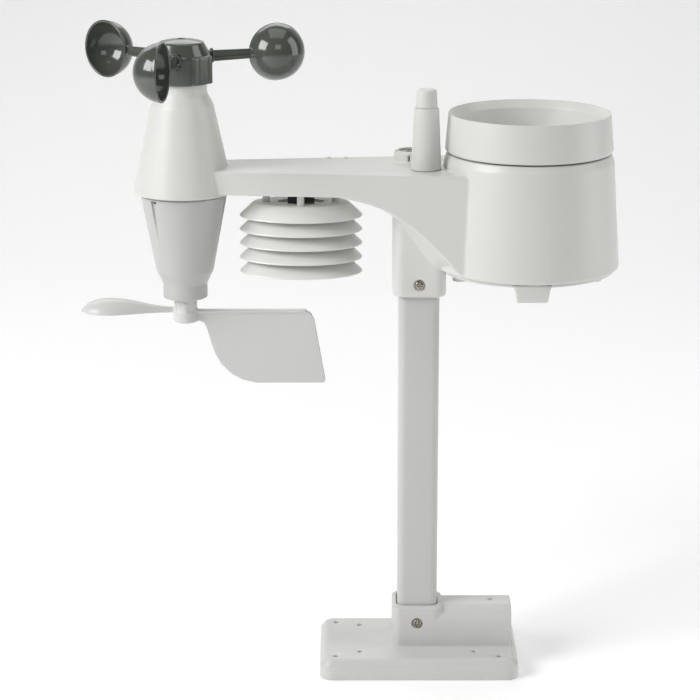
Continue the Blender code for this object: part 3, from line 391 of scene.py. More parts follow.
def smooth_curve(knots, window=9.0):
    """A dense table of a curve through the knots, with its corners rounded."""
    xs = np.arange(knots[0][0] - 20, knots[-1][0] + 20, 0.5)
    zs = np.interp(xs, [k[0] for k in knots], [k[1] for k in knots])
    kernel = np.hanning(int(window / 0.5) | 1)
    padded = np.pad(zs, len(kernel) // 2, mode="edge")
    return xs, np.convolve(padded, kernel / kernel.sum(), mode="valid")


SIDE_CURVE = smooth_curve([(x, side) for x, side, _ in UNDERSIDE])
MIDDLE_CURVE = smooth_curve([(x, middle) for x, _, middle in UNDERSIDE])
SIDE_SLOPE = np.gradient(SIDE_CURVE[1], SIDE_CURVE[0])
MIDDLE_SLOPE = np.gradient(MIDDLE_CURVE[1], MIDDLE_CURVE[0])


def arm_distance(x, y, z):
    """The arm and its web: drafted sides, rounded top edges and an underside that deepens to the middle."""
    half = ARM_HALF_AT_ZERO + ARM_TAPER * x
    spread = SIDE_DRAFT * (ARM_TOP - z)
    side = np.maximum(-y - half, y - half - ARM_BACK_EXTRA) - spread
    side = side / math.hypot(1.0, ARM_TAPER)
    low_side = np.interp(x, *SIDE_CURVE)
    low_middle = np.interp(x, *MIDDLE_CURVE)
    width = half - SOCKET_HALF
    share = np.clip((np.abs(y) - SOCKET_HALF) / width, 0, 1)
    low = low_middle + (low_side - low_middle) * share
    slope_x = np.interp(x, SIDE_CURVE[0], MIDDLE_SLOPE + 0.5 * (SIDE_SLOPE - MIDDLE_SLOPE))
    slope_y = (low_side - low_middle) / width
    under = (low - z) / np.sqrt(1 + slope_x**2 + slope_y**2)
    arm = round_max(side, z - ARM_TOP, 1.2)
    arm = round_max(arm, under, 0.7)
    return np.maximum(arm, np.maximum(-128.0 - x, x - 40.0))


def tower_distance(r, z):
    main = cone(r, z, (29.6, 297.0), (18.5, 349.0))
    shoulder = cone(r, z, (18.5, 349.0), (14.6, 356.5))
    body = round_max(main, shoulder, 0.3)
    neck = np.maximum(r - 14.8, 340.0 - z)
    body = round_min(body, neck, 0.8)
    return round_max(body, slab(z, 296.8, 365.0), 0.7)


def housing_distance(r, z):
    side = cone(r, z, (54.6, 253.0), (50.5, 316.5))
    ledge = cone(r, z, (50.4, 316.5), (48.8, 320.4))
    body = round_max(round_max(side, ledge, 0.3), z - HOUSING_TOP, 0.3)
    return round_max(body, HOUSING_BOTTOM - z, 1.6)


def shell_distance(points):
    x, y, z = points.T
    tower = tower_distance(radius_from(points, TOWER), z)
    body = round_min(arm_distance(x, y, z), tower, 0.5)
    r = radius_from(points, GAUGE)
    body = round_min(body, housing_distance(r, z), 0.5)
    socket = rounded_rectangle(x, y, SOCKET_HALF, SOCKET_HALF, 6.5)
    socket = round_max(socket, slab(z, SOCKET_BOTTOM, 300.0), 2.4)
    body = round_min(body, socket, 0.6)
    # Rain housing: its hollow, and the opening for the collector
    hollow = round_max(cone(r, z, (52.3, 255.4), (48.5, 312.6)), z - 315.2, 1.0)
    hollow = np.maximum(hollow, 16.8 - x)
    body = carve(body, np.maximum(hollow, 0.3 - socket), 0.3)
    body = carve(body, np.maximum(r - 46.2, 304.0 - z), 0.5)
    # On top: level boss with its seat and a small slot, hole for the antenna, two raised dots
    level = radius_from(points, LEVEL)
    body = round_min(body, round_max(level - 11.0, slab(z, 305.0, 318.4), 0.7), 0.8)
    body = carve(body, np.maximum(level - 9.6, 312.8 - z), 0.4)
    slot = np.maximum(slab(x, -6.5, -5.6), np.maximum(y - LEVEL[1] + 9.4, slab(z, 313.2, 316.8)))
    body = carve(body, slot, 0.1)
    body = carve(body, np.maximum(radius_from(points, ANTENNA) - 6.2, 305.0 - z), 0.3)
    for dot_x in (-54.0, -44.0):
        dot = np.sqrt((x - dot_x) ** 2 + (y - 25.0) ** 2 + (z - 311.2) ** 2) - 1.9
        body = round_min(body, dot, 0.5)
    # Open underside of the arm, behind its cover
    plan = np.maximum(np.abs(y) - (ARM_HALF_AT_ZERO + ARM_TAPER * x - 3.0), slab(x, -108.5, -45.0))
    body = carve(body, np.maximum(plan, z - 301.5), 0.3)
    # Mast bore, screw seats and the hexagonal nut pocket
    bore = rounded_rectangle(x, y, MAST_HALF + 0.35, MAST_HALF + 0.35, MAST_CORNER)
    body = carve(body, np.maximum(bore, z - 272.3), 0.6)
    return with_screw_seat(body, points, SOCKET_HALF, SCREW_HEIGHTS["head"])


def with_screw_seat(body, points, half, height):
    """A hole through both walls with a shallow round seat in front and a nut pocket behind."""
    x, y, z = points.T
    r = np.hypot(x, z - height)
    body = carve(body, r - 1.9, 0.2)
    body = carve(body, np.maximum(r - 3.15, y + half - 0.9), 0.35)
    hexagon = np.maximum.reduce(
        [np.abs(x * math.cos(a) + (z - height) * math.sin(a)) for a in np.radians((0, 60, 120))]
    )
    return carve(body, np.maximum(hexagon - 3.05, half - 1.7 - y), 0.25)


# Base stand


def base_distance(points):
    x, y, z = points.T
    plate = rounded_rectangle(x - 1.0, y, 60.8, 38.0, 8.0)
    bevel = (plate * 3.8 + (z - 9.2) * 3.4) / math.hypot(3.8, 3.4)
    plate = round_max(plate, bevel, 0.3)
    plate = round_max(plate, z - 13.0, 1.0)
    plate = round_max(plate, -z, 0.6)
    socket = rounded_rectangle(x, y, 15.4, 15.4, 5.5)
    socket = round_max(socket, z - 38.8, 1.0)
    lip = np.maximum(rounded_rectangle(x, y, 14.0, 14.0, 5.0), z - 39.4)
    ridge = rounded_rectangle(y, z - 18.9, 15.4, 20.0, 11.0)
    ridge = round_max(ridge, x - 58.2, 0.8)
    ridge = np.maximum(ridge, -x)
    standing = round_min(socket, ridge, 0.5)
    standing = np.maximum(standing, 1.0 - z)
    body = round_min(plate, standing, 1.0)
    body = np.minimum(body, np.maximum(lip, 30.0 - z))
    for hole_x, hole_y in BASE_HOLES:
        r = np.hypot(x - hole_x, y - hole_y)
        body = carve(body, r - 1.7, 0.35)
        if abs(hole_x) > 40:
            dish = np.sqrt(r**2 + (z - 29.0) ** 2) - 16.7
            body = carve(body, np.maximum(dish, z - 16.0), 0.3)
    body = carve(body, np.maximum(np.hypot(x - 45.6, y) - 1.7, 30.0 - z), 0.35)
    bore = rounded_rectangle(x, y, MAST_HALF + 0.35, MAST_HALF + 0.35, MAST_CORNER)
    body = carve(body, np.maximum(bore, 3.1 - z), 0.4)
    tunnel = rounded_rectangle(y, z - 24.0, MAST_HALF + 0.3, MAST_HALF + 0.3, MAST_CORNER)
    body = carve(body, np.maximum(tunnel, 18.0 - x), 0.4)
    for low, high, rib in ((-55.5, -19.0, 1.2), (19.0, 57.5, 17.0)):
        pocket = np.maximum(slab(x, low, high), slab(np.abs(y), rib, 33.5))
        pocket = np.maximum(pocket, z - 10.4)
        for hole_x, hole_y in BASE_HOLES:
            pocket = np.maximum(pocket, 4.2 - np.hypot(x - hole_x, y - hole_y))
        body = carve(body, pocket, 0.3)
    return with_screw_seat(body, points, 15.4, SCREW_HEIGHTS["base"])


# Wind tower


def lower_cone_distance(points):
    x, y, z = points.T
    r = radius_from(points, TOWER)
    body = cone(r, z, (17.3, 250.0), (26.0, 296.5))
    body = round_max(body, cone(r, z, (13.4, 241.4), (17.1, 249.2)), 0.2)
    body = np.maximum(body, 241.0 - z)
    collar = round_max(r - 13.3, slab(z, 232.4, 246.0), 0.9)
    body = round_min(body, collar, 0.25)
    body = np.maximum(body, r - 26.0)
    body = round_max(body, z - 301.0, 0.4)
    body = carve(body, np.maximum(slab(z, 295.5, 297.4), 24.9 - r), 0.1)
    for degrees in SNAP_ANGLES:
        along, across, up = turned_points(points, degrees, TOWER).T
        share = np.clip((up - 267.0) / 27.5, 0, 1)
        floor = 20.5 + 3.3 * share
        recess = np.maximum(np.abs(across) - (0.3 + 1.9 * share), floor - along)
        recess = np.maximum(recess, slab(up, 264.0, 294.2))
        body = carve(body, recess, 0.5)
        slot = np.maximum(np.abs(across) - 1.8, np.maximum(slab(up, 292.6, 294.4), 20.0 - along))
        body = carve(body, slot, 0.15)
    return carve(body, np.maximum(r - 5.4, z - 239.0), 0.4)


def hub_distance(points):
    x, y, z = points.T
    r = radius_from(points, TOWER)
    body = round_max(r - 17.4, cone(r, z, (17.4, 378.4), (13.5, 385.3)), 0.5)
    dome = np.sqrt(r**2 + (z - 343.0) ** 2) - 45.0
    body = round_max(body, dome, 0.5)
    body = round_max(body, 362.0 - z, 0.5)
    for degrees in CUP_ANGLES:
        along, across, up = turned_points(points, degrees - 60, TOWER).T
        pad = rounded_rectangle(along - 16.6, across, 1.75, 7.4, 0.8)
        pad = round_max(pad, slab(up, 362.4, 378.6), 0.4)
        body = round_min(body, pad, 0.3)
        groove = np.maximum(slab(np.abs(across), 3.4, 4.2), 18.0 - along)
        body = carve(body, groove, 0.15)
        along, across, up = turned_points(points, degrees, TOWER).T
        pocket = np.maximum(np.abs(across) - 3.5, np.maximum(slab(up, 373.5, 380.5), 14.0 - along))
        body = carve(body, pocket, 0.2)
    body = carve(body, np.maximum(r - 15.5, z - 377.5), 0.3)
    post = np.maximum(r - 4.2, slab(z, 366.4, 380.0))
    body = np.minimum(body, post)
    body = carve(body, np.maximum(r - 1.8, z - 381.3), 0.2)
    return carve(body, np.maximum(r - 2.3, 384.2 - z), 0.3)


def cup_distance(points):
    """One cup and its arm, pointing along +X from the hub's axis with the bowl open towards +Y."""
    x, y, z = points.T
    from_centre = np.stack([x - CUP_REACH, y - CUP_OFFSET, z], axis=1)
    around = np.hypot(from_centre[:, 0], from_centre[:, 2])
    depth = from_centre[:, 1]
    middle = CUP_RADIUS - CUP_WALL / 2
    bowl = np.abs(np.linalg.norm(from_centre, axis=1) - middle) - CUP_WALL / 2
    bowl = round_max(bowl, depth, 0.3)
    bead = np.hypot(around - (CUP_RADIUS - 0.36), depth + 0.55) - 0.55
    bowl = round_min(bowl, bead, 0.5)
    # Arm: an upright web on a flange that widens towards the hub
    share = np.clip((x - 14.6) / 29.0, 0, 1)
    middle_y = 1.6 * share
    top, bottom = 3.4 - 0.4 * share, -3.0 + 0.4 * share
    web = round_max(np.abs(y - middle_y) - (1.0 - 0.1 * share), slab(z, bottom, top), 0.35)
    flange = round_max(np.abs(y - middle_y * 0.9) - (3.0 - 1.0 * share), slab(z, bottom, bottom + 1.5), 0.4)
    arm = round_min(web, flange, 0.8)
    collar = round_max(np.hypot(y, (z - 0.2) * 0.95) - 4.3, slab(x, 17.8, 19.0), 0.4)
    root = round_max(rounded_rectangle(y, z - 0.2, 3.0, 3.2, 1.0), slab(x, 14.6, 18.6), 0.3)
    arm = round_min(arm, np.minimum(root, collar), 0.5)
    arm = np.maximum(arm, np.maximum(14.6 - x, x - CUP_REACH + middle))
    return round_min(bowl, arm, 0.9)


TAIL_OUTLINE = [
    (5.0, 224.0),
    (72.0, 224.0),
    (75.2, 222.6),
    (77.4, 218.4),
    (84.0, 181.0),
    (83.6, 179.2),
    (82.0, 178.6),
    (42.0, 178.6),
    (33.6, 180.6),
    (26.6, 184.6),
    (21.0, 190.2),
    (17.2, 196.8),
    (14.8, 204.0),
    (12.4, 213.0),
    (10.6, 216.4),
    (5.0, 218.4),
]
NOSE_BOTTOM = 223.2
NOSE_STATIONS = [(4.0, 3.0, 2.4), (14.0, 4.2, 3.2), (22.0, 6.0, 4.4), (28.0, 7.8, 5.8), (34.0, 9.6, 6.9)]
NOSE_STATIONS += [(40.0, 11.4, 7.6), (46.0, 12.2, 7.9), (52.0, 11.6, 7.5), (57.5, 8.9, 5.9)]
NOSE_STATIONS += [(61.0, 5.2, 3.5), (63.0, 0.3, 0.3)]
NOSE_HALF = smooth_curve([(distance, half) for distance, half, _ in NOSE_STATIONS], 7.0)
NOSE_RISE = smooth_curve([(distance, rise) for distance, _, rise in NOSE_STATIONS], 7.0)


def vane_distance(points):
    x, y, z = points.T
    x = x - TOWER[0]
    r = np.hypot(x, y)
    tail = round_max(polygon(x, z, TAIL_OUTLINE), np.abs(y) - 0.9, 0.5)
    flange = round_max(np.abs(y) - 2.2, slab(z, 222.8, 224.4), 0.5)
    flange = np.maximum(flange, slab(x, 5.0, 72.4))
    tail = round_min(tail, flange, 0.8)
    half = np.interp(-x, *NOSE_HALF)
    rise = np.interp(-x, *NOSE_RISE)
    oval = (np.hypot(y / half, (z - NOSE_BOTTOM) / rise) - 1) * np.minimum(half, rise)
    nose = round_max(oval * 0.8, NOSE_BOTTOM - z, 0.5)
    nose = np.maximum(nose, slab(x, -63.0, -4.0))
    lower = round_max(r - 7.3, slab(z, 217.0, 224.4), 1.3)
    upper = round_max(r - 6.8, slab(z, 217.5, 231.9), 0.5)
    ribs = np.maximum(np.abs(np.mod(np.degrees(np.arctan2(y, x)), 60) - 30) * r * 0.0175 - 1.2, r - 7.2)
    upper = np.minimum(upper, round_max(ribs, slab(z, 217.5, 229.5), 0.3))
    hub = round_min(lower, upper, 0.4)
    body = round_min(round_min(hub, tail, 1.2), nose, 1.2)
    return carve(body, np.maximum(r - 2.3, 222.0 - z), 0.2)


# Turned pieces

COLLECTOR_PROFILE = [
    (48.0, COLLECTOR_TOP),
    (49.9, 323.0),
    (49.0, 321.6),
    (47.2, 321.6),
    (46.4, 337.5),
    (45.4, 336.5),
    (45.4, 305.6),
    (43.6, 305.6),
    (43.6, 323.9),
    (6.0, 299.8),
    (5.4, 294.4),
    (4.0, 294.4),
    (4.2, 300.8),
    (43.4, 326.0),
    (44.6, 339.5),
    (47.6, COLLECTOR_TOP),
]
SLEEVE_PROFILE = [
    (4.2, 307.0),
    (5.8, 307.0),
    (5.8, 312.3),
    (8.9, 312.3),
    (8.9, 313.0),
    (7.4, 348.2),
    (7.1, 348.8),
    (4.2, 348.8),
]
TIP_PROFILE = [
    (0, 343.0),
    (3.9, 343.0),
    (3.9, 348.9),
    (6.4, 348.9),
    (6.4, 349.6),
    (5.95, 358.7),
    (5.1, 359.7),
    (0, 359.7),
]
RING_PROFILE = [(8.4, 312.7), (9.3, 312.7), (9.3, 318.4), (8.9, 318.8), (8.4, 318.8)]
VIAL_PROFILE = [(0, 312.7), (8.1, 312.7), (8.1, 317.2), (7.4, 317.7), (4.0, 318.2), (0, 318.3)]
BUTTON_PROFILE = [(0, 250.1), (1.8, 249.8), (2.4, 249.6), (3.0, 250.1), (3.0, 253.5), (4.4, 253.5)]
BUTTON_PROFILE += [(4.4, 254.7), (0, 254.7)]
LENS_PROFILE = [(0, 249.3), (0.8, 249.4), (1.4, 249.8), (1.8, 250.6), (1.8, 253.5), (2.6, 253.5)]
LENS_PROFILE += [(2.6, 254.4), (0, 254.4)]
CELL_PROFILE = [(0, -24.6), (5.4, -24.6), (5.6, -24.3), (7.1, -24.1), (7.1, 23.4), (6.4, 23.9), (2.9, 23.9)]
CELL_PROFILE += [(2.7, 24.9), (0, 24.9)]
POST_PROFILE = [(0, -0.8), (2.6, -0.8), (2.3, 0.3), (2.2, 1.0)]
LUG_HEIGHTS = (310.6, 314.2)
LUG_ANGLES = (30, 150, 270)
CELL_PITCH = 15.2
CELL_Z = 258.6
BUTTON = (GAUGE[0] - 12.0, 36.0)
LENS = (GAUGE[0] + 12.0, 36.0)


def make_collector():
    collector = lathed("collector", softened(COLLECTOR_PROFILE, 0.4), GAUGE, 192)
    plastic = white_plastic("collector_plastic", 3.0)
    dressed(collector, "collector", ["rain_collector"], plastic)
    for number, degrees in enumerate(LUG_ANGLES, 1):
        lug = ring_piece(f"collector_lug_{number}", (degrees - 4, degrees + 4), (44.6, 47.2), LUG_HEIGHTS)
        dressed(lug, "collector", [], plastic)


def ring_piece(name, degrees, radii, heights, steps=8):
    """A piece of a ring round the gauge's axis between two angles, radii and heights."""
    points = []
    for i in range(steps + 1):
        angle = math.radians(degrees[0] + (degrees[1] - degrees[0]) * i / steps)
        for side, level in ((0, 0), (1, 0), (1, 1), (0, 1)):
            x, y = radii[side] * math.cos(angle), radii[side] * math.sin(angle)
            points.append((GAUGE[0] + x, y, heights[level]))
    faces = [(0, 1, 2, 3), tuple(range(len(points) - 4, len(points)))]
    for i in range(steps):
        for a in range(4):
            b = (a + 1) % 4
            faces.append((4 * i + a, 4 * i + b, 4 * i + 4 + b, 4 * i + 4 + a))
    return object_from_polygons(name, points, faces)


def make_antenna():
    sleeve = lathed("antenna_mast", softened(SLEEVE_PROFILE, 0.25), ANTENNA, 96)
    dressed(sleeve, "station", ["antenna_sleeve"], white_plastic("antenna_plastic", 4.0))
    tip = lathed("antenna_cap", softened(TIP_PROFILE, 0.25), ANTENNA, 96)
    dressed(tip, "station", ["antenna_tip"], white_plastic("antenna_cap_plastic", 5.0))


def make_level():
    ring = lathed("level_bezel", softened(RING_PROFILE, 0.2), LEVEL, 96)
    dressed(ring, "station", ["level_ring"], white_plastic("level_plastic", 12.0))
    vial = lathed("level_window", VIAL_PROFILE, LEVEL, 96)
    dressed(vial, "station", ["level_vial"], clear_plastic("level_fluid", (0.60, 0.64, 0.52)))
    mark = [(3.0, 318.1), (3.2, 318.05), (3.2, 318.4), (3.0, 318.45)]
    circle = lathed("level_mark", mark, LEVEL, 64)
    dressed(circle, "station", [], dark_plastic("level_mark_paint", 13.0))


# Radiation shield


def oval_ring(half_x, half_y, z, count=160):
    angles = [2 * math.pi * i / count for i in range(count)]
    return [(SHIELD[0] + half_x * math.cos(a), half_y * math.sin(a), z) for a in angles]


def louvre_rings(lip, closed):
    """Rings of one louvre, from its lip up the skirt, across the flat and back underneath."""
    flat = lip + LOUVRE_RISE
    half_x, half_y = LOUVRE_HALF
    outside = [(0.55, lip - 0.4), (0.0, lip + 0.1), (0.25, lip + 0.7), (7.6, flat - 0.5), (8.6, flat)]
    under = flat - LOUVRE_THICKNESS
    inside = [(9.2, under), (1.7, lip + 0.6), (1.3, lip - 0.4)]
    rings = [(half_x - inset, half_y - inset, z) for inset, z in softened_open(outside, 0.4)]
    turn = len(rings)
    if not closed:
        rings += [(14.0, 8.0, flat), (14.0, 8.0, under)]
    rings += [(half_x - inset, half_y - inset, z) for inset, z in softened_open(inside, 0.3)]
    return rings, turn


def louvre_faces(rings, around, turn, closed):
    """Faces between the rings; a closed louvre has flat faces over and under it instead of a hole."""
    faces = []
    for a in range(rings):
        b = (a + 1) % rings
        if closed and a == turn - 1:
            faces.append(tuple(range(a * around, a * around + around)))
            faces.append(tuple(range(b * around, b * around + around)))
            continue
        for i in range(around):
            j = (i + 1) % around
            faces.append((a * around + i, a * around + j, b * around + j, b * around + i))
    return faces


def softened_open(points, radius):
    """Like softened, for a line that doesn't close on itself."""
    ends = softened([points[0]] + points + [points[-1]], radius, 3)
    return ends[1:-1]


def make_louvres():
    # The louvres' lighter white paints in the light that falls on them
    plastic = white_plastic("louvre_plastic", 6.0, LOUVRE_LIT_WHITE)
    for number, lip in enumerate(LIPS, 1):
        closed = number == len(LIPS)
        rings, turn = louvre_rings(lip, closed)
        loops = [oval_ring(*ring) for ring in rings]
        points = [point for loop in loops for point in loop]
        faces = louvre_faces(len(rings), len(loops[0]), turn, closed)
        louvre = object_from_polygons(f"shield_plate_{number}", points, faces)
        dressed(louvre, "station", [f"louvre_{number}"], plastic)
        make_posts(number, lip, plastic)


def make_posts(number, lip, plastic):
    """Spacers between one louvre and whatever is above it."""
    flat = lip + LOUVRE_RISE
    above = ARM_COVER_BOTTOM
    if number > 1:
        above = LIPS[number - 2] + LOUVRE_RISE - LOUVRE_THICKNESS
    for post, (x, y) in enumerate(RODS, 1):
        profile = [(radius, flat + z) for radius, z in POST_PROFILE]
        profile += [(2.1, above - 0.3), (0, above - 0.3)]
        stub = lathed(f"shield_post_{number}_{post}", profile, (SHIELD[0] + x, y), 32)
        dressed(stub, "station", [], plastic)


# Underside of the rain gauge


def floor_distance(points):
    x, y, z = points.T
    r = radius_from(points, GAUGE)
    u = x - GAUGE[0]
    disc = round_max(r - 51.9, slab(z, 249.8, 253.2), 0.8)
    walls = rounded_rectangle(u, y, 28.2, 28.8, 1.5)
    walls = np.maximum(np.maximum(walls, -rounded_rectangle(u, y, 26.4, 27.0, 1.0)), slab(z, 252.0, 264.4))
    body = round_min(disc, walls, 0.4)
    body = carve(body, np.maximum(rounded_rectangle(u, y, 24.5, 27.0, 1.0), z - 257.0), 0.2)
    body = carve(body, np.maximum(rounded_rectangle(u, y, 27.3, 31.3, 2.2), z - 251.4), 0.2)
    body = carve(body, np.maximum(np.abs(u) - 11.3, np.maximum(z - 251.4, y + 25.0)), 0.2)
    for hole_x, hole_y, radius, top in (
        (-40.0, 0.0, 5.2, 260.0),
        (40.0, 0.0, 5.2, 260.0),
        (BUTTON[0] - GAUGE[0], BUTTON[1], 3.3, 260.0),
        (LENS[0] - GAUGE[0], LENS[1], 2.1, 260.0),
    ):
        body = carve(body, np.maximum(np.hypot(u - hole_x, y - hole_y) - radius, z - top), 0.3)
    for degrees in (45, 135, 225, 315):
        hole_x, hole_y = (48.4 * f(math.radians(degrees)) for f in (math.cos, math.sin))
        r_hole = np.hypot(u - hole_x, y - hole_y)
        body = carve(body, r_hole - 1.5, 0.2)
        body = carve(body, np.maximum(r_hole - 2.6, z - 251.4), 0.2)
    socket = np.maximum(np.abs(y) - 17.0, x - SOCKET_HALF - 0.5)
    return carve(body, socket, 0.3)


def door_distance(points):
    x, y, z = points.T
    u = x - GAUGE[0]
    panel = rounded_rectangle(u, y, 27.0, 31.0, 2.0)
    tongue = rounded_rectangle(u, y + 37.7, 11.0, 12.7, 1.2)
    plate = round_max(np.minimum(panel, tongue), slab(z, 249.4, 251.1), 0.35)
    drop = np.clip((250.0 - z) / 9.8, 0, 1)
    grip = rounded_rectangle(u, y + 45.6, 10.8 - 1.7 * drop, 4.5 - 1.1 * drop, 1.3)
    grip = round_max(grip, slab(z, 240.2, 250.2), 1.0)
    return round_min(plate, grip, 0.6)


def make_gauge_floor():
    plastic = white_plastic("floor_plastic", 14.0)
    base = sculpted("gauge_floor", floor_distance, (11, -53, 249), (118, 53, 265), coarse(0.6))
    dressed(base, "station", ["housing_floor"], plastic)
    door = sculpted("battery_hatch", door_distance, (37, -51, 239), (93, 32, 252), coarse(0.4))
    dressed(door, "door", ["battery_door"], plastic)
    button = lathed("reset_knob", softened(BUTTON_PROFILE, 0.15), BUTTON, 48)
    dressed(button, "button", ["reset_button"], dark_plastic("button_plastic", 15.0))
    lens = lathed("status_lens", softened(LENS_PROFILE, 0.15), LENS, 48)
    dressed(lens, "station", ["led_lens"], clear_plastic("lens_plastic", (0.6, 0.03, 0.02)))
    wrap = cell_wrap("battery_wrap")
    upright = lathed("cell_upright", softened(CELL_PROFILE, 0.25), (0.0, 0.0), 64)
    for number in (1, 2, 3):
        turn = Matrix.Rotation(math.radians(90 if number == 2 else -90), 4, "X")
        x = GAUGE[0] + (number - 2) * CELL_PITCH
        place = Matrix.Translation((x * MM, 0.0, CELL_Z * MM)) @ turn
        cell = copied(upright, f"battery_cell_{number}", place)
        dressed(cell, "station", [f"cell_{number}"], wrap)
    bpy.data.objects.remove(upright, do_unlink=True)


# Mast screws


def screw_distance(points):
    """A pan-head screw along Y with its head towards the front and a cross recess; the seat is at Y 0."""
    x, y, z = points.T
    r = np.hypot(x, z)
    dome = np.sqrt(r**2 + (y - 2.4) ** 2) - 4.6
    head = round_max(r - 2.7, slab(y, -2.3, 0.0), 0.25)
    head = round_max(head, dome, 0.4)
    shank = round_max(r - 1.55 - 0.12 * np.sin(y * 7.85), slab(y, -0.6, 30.0), 0.2)
    body = np.minimum(head, shank)
    for across, along in ((x, z), (z, x)):
        arm = np.maximum(np.abs(across) - 0.42, np.abs(along) - 1.65)
        body = carve(body, np.maximum(arm, y + 0.9), 0.1)
    return body


def make_mast_screws():
    steel = metal("screw_steel", (0.46, 0.42, 0.37), 0.2)
    points, quads = surface_of(screw_distance, (-2.8, -2.4, -2.8), (2.8, 30.2, 2.8), 0.16)
    seats = {"base": BASE_SOCKET_HALF - 0.9, "head": SOCKET_HALF - 0.9}
    for place, height in SCREW_HEIGHTS.items():
        screw = object_from(f"{place}_cross_screw", points + np.array([0.0, -seats[place], height]), quads)
        dressed(screw, "station", [f"{place}_screw"], steel)


# Materials


def node(tree, kind, **settings):
    made = tree.nodes.new(kind)
    for name, value in settings.items():
        if name in made.inputs:
            made.inputs[name].default_value = value
        else:
            setattr(made, name, value)
    return made


def noise(tree, coordinates, scale, detail=3.0, roughness=0.5, stretch=(1.0, 1.0, 1.0)):
    mapping = node(tree, "ShaderNodeMapping", Scale=stretch)
    tree.links.new(coordinates, mapping.inputs["Vector"])
    made = node(tree, "ShaderNodeTexNoise", Scale=scale, Detail=detail, Roughness=roughness)
    tree.links.new(mapping.outputs["Vector"], made.inputs["Vector"])
    return made.outputs["Fac"]


def ranged(tree, value, low, high, from_low=0.3, from_high=0.7):
    made = node(tree, "ShaderNodeMapRange")
    made.inputs["From Min"].default_value = from_low
    made.inputs["From Max"].default_value = from_high
    made.inputs["To Min"].default_value = low
    made.inputs["To Max"].default_value = high
    tree.links.new(value, made.inputs["Value"])
    return made.outputs["Result"]


def blended(tree, share, first, second):
    made = node(tree, "ShaderNodeMix", data_type="RGBA")
    made.inputs["A"].default_value = (*first, 1.0)
    made.inputs["B"].default_value = (*second, 1.0)
    tree.links.new(share, made.inputs["Factor"])
    return made.outputs["Result"]


def bumped(tree, height, strength, distance, before=None):
    made = node(tree, "ShaderNodeBump", Strength=strength, Distance=distance)
    tree.links.new(height, made.inputs["Height"])
    if before is not None:
        tree.links.new(before, made.inputs["Normal"])
    return made.outputs["Normal"]


def new_material(name, seed=0.0):
    """A material with its tree, its shader and object coordinates shifted by the seed."""
    made = bpy.data.materials.new(name)
    made.use_nodes = True
    tree = made.node_tree
    shifted = node(tree, "ShaderNodeVectorMath", operation="ADD")
    shifted.inputs[1].default_value = (seed * 0.37, seed * 0.21, seed * 0.53)
    tree.links.new(node(tree, "ShaderNodeTexCoord").outputs["Object"], shifted.inputs[0])
    return made, tree, tree.nodes["Principled BSDF"], shifted.outputs["Vector"]


def moulded(name, base, shade, roughness, grain, seed):
    """Injection-moulded plastic: spark-eroded grain, cloudy tone, faint flow lines and handling wear."""
    made, tree, shader, coordinates = new_material(name, seed)
    cloud = noise(tree, coordinates, 14.0, 4.0)
    flow = noise(tree, coordinates, 60.0, 3.0, 0.6, (1.0, 1.0, 0.15))
    fine = noise(tree, coordinates, 2600.0, 2.0)
    pits = noise(tree, coordinates, 900.0, 3.0, 0.65)
    worn = noise(tree, coordinates, 45.0, 6.0, 0.7)
    mixed = node(tree, "ShaderNodeMath", operation="MULTIPLY_ADD")
    tree.links.new(flow, mixed.inputs[0])
    mixed.inputs[1].default_value = 0.5
    tree.links.new(ranged(tree, cloud, 0.0, 0.5), mixed.inputs[2])
    tree.links.new(blended(tree, mixed.outputs["Value"], base, shade), shader.inputs["Base Color"])
    tree.links.new(ranged(tree, worn, roughness - 0.05, roughness + 0.06), shader.inputs["Roughness"])
    grained = bumped(tree, fine, grain, 0.00004)
    tree.links.new(bumped(tree, pits, grain * 0.8, 0.00008, grained), shader.inputs["Normal"])
    shader.inputs["IOR"].default_value = 1.5
    return made


def white_plastic(name, seed, white=HEAD_WHITE):
    """One batch of the grey-white plastic, whose cloudy tone differs a little from piece to piece; a
    lighter or darker white given for a piece paints in the light or shade that falls on it.
    """
    return moulded(name, white, tuple(c * 0.955 for c in white), 0.345, 0.12, seed)


def cup_plastic(name, seed):
    """Polished dark grey plastic of the wind cups."""
    made = moulded(name, CUP_GREY, tuple(c * 0.86 for c in CUP_GREY), 0.12, 0.02, seed)
    made.node_tree.nodes["Principled BSDF"].inputs["IOR"].default_value = 1.66
    return made


def dark_plastic(name, seed):
    return moulded(name, (0.035, 0.035, 0.036), (0.028, 0.028, 0.028), 0.45, 0.2, seed)


def metal(name, base, roughness):
    """Drawn or turned metal: fine streaks, dull spots and uneven shine."""
    made, tree, shader, coordinates = new_material(name)
    streaks = noise(tree, coordinates, 900.0, 3.0, 0.6, (1.0, 1.0, 0.1))
    spots = noise(tree, coordinates, 350.0, 4.0)
    darker = tuple(c * 0.6 for c in base)
    tree.links.new(blended(tree, ranged(tree, spots, 0.0, 1.0), base, darker), shader.inputs["Base Color"])
    tree.links.new(ranged(tree, streaks, roughness - 0.08, roughness + 0.14), shader.inputs["Roughness"])
    tree.links.new(bumped(tree, streaks, 0.25, 0.00003), shader.inputs["Normal"])
    shader.inputs["Metallic"].default_value = 1.0
    return made


def clear_plastic(name, base):
    made, tree, shader, coordinates = new_material(name)
    haze = noise(tree, coordinates, 300.0, 3.0)
    tree.links.new(blended(tree, haze, base, tuple(c * 0.85 for c in base)), shader.inputs["Base Color"])
    tree.links.new(ranged(tree, haze, 0.03, 0.12), shader.inputs["Roughness"])
    tree.links.new(bumped(tree, haze, 0.1, 0.00004), shader.inputs["Normal"])
    shader.inputs["Transmission Weight"].default_value = 0.5
    shader.inputs["IOR"].default_value = 1.49
    return made


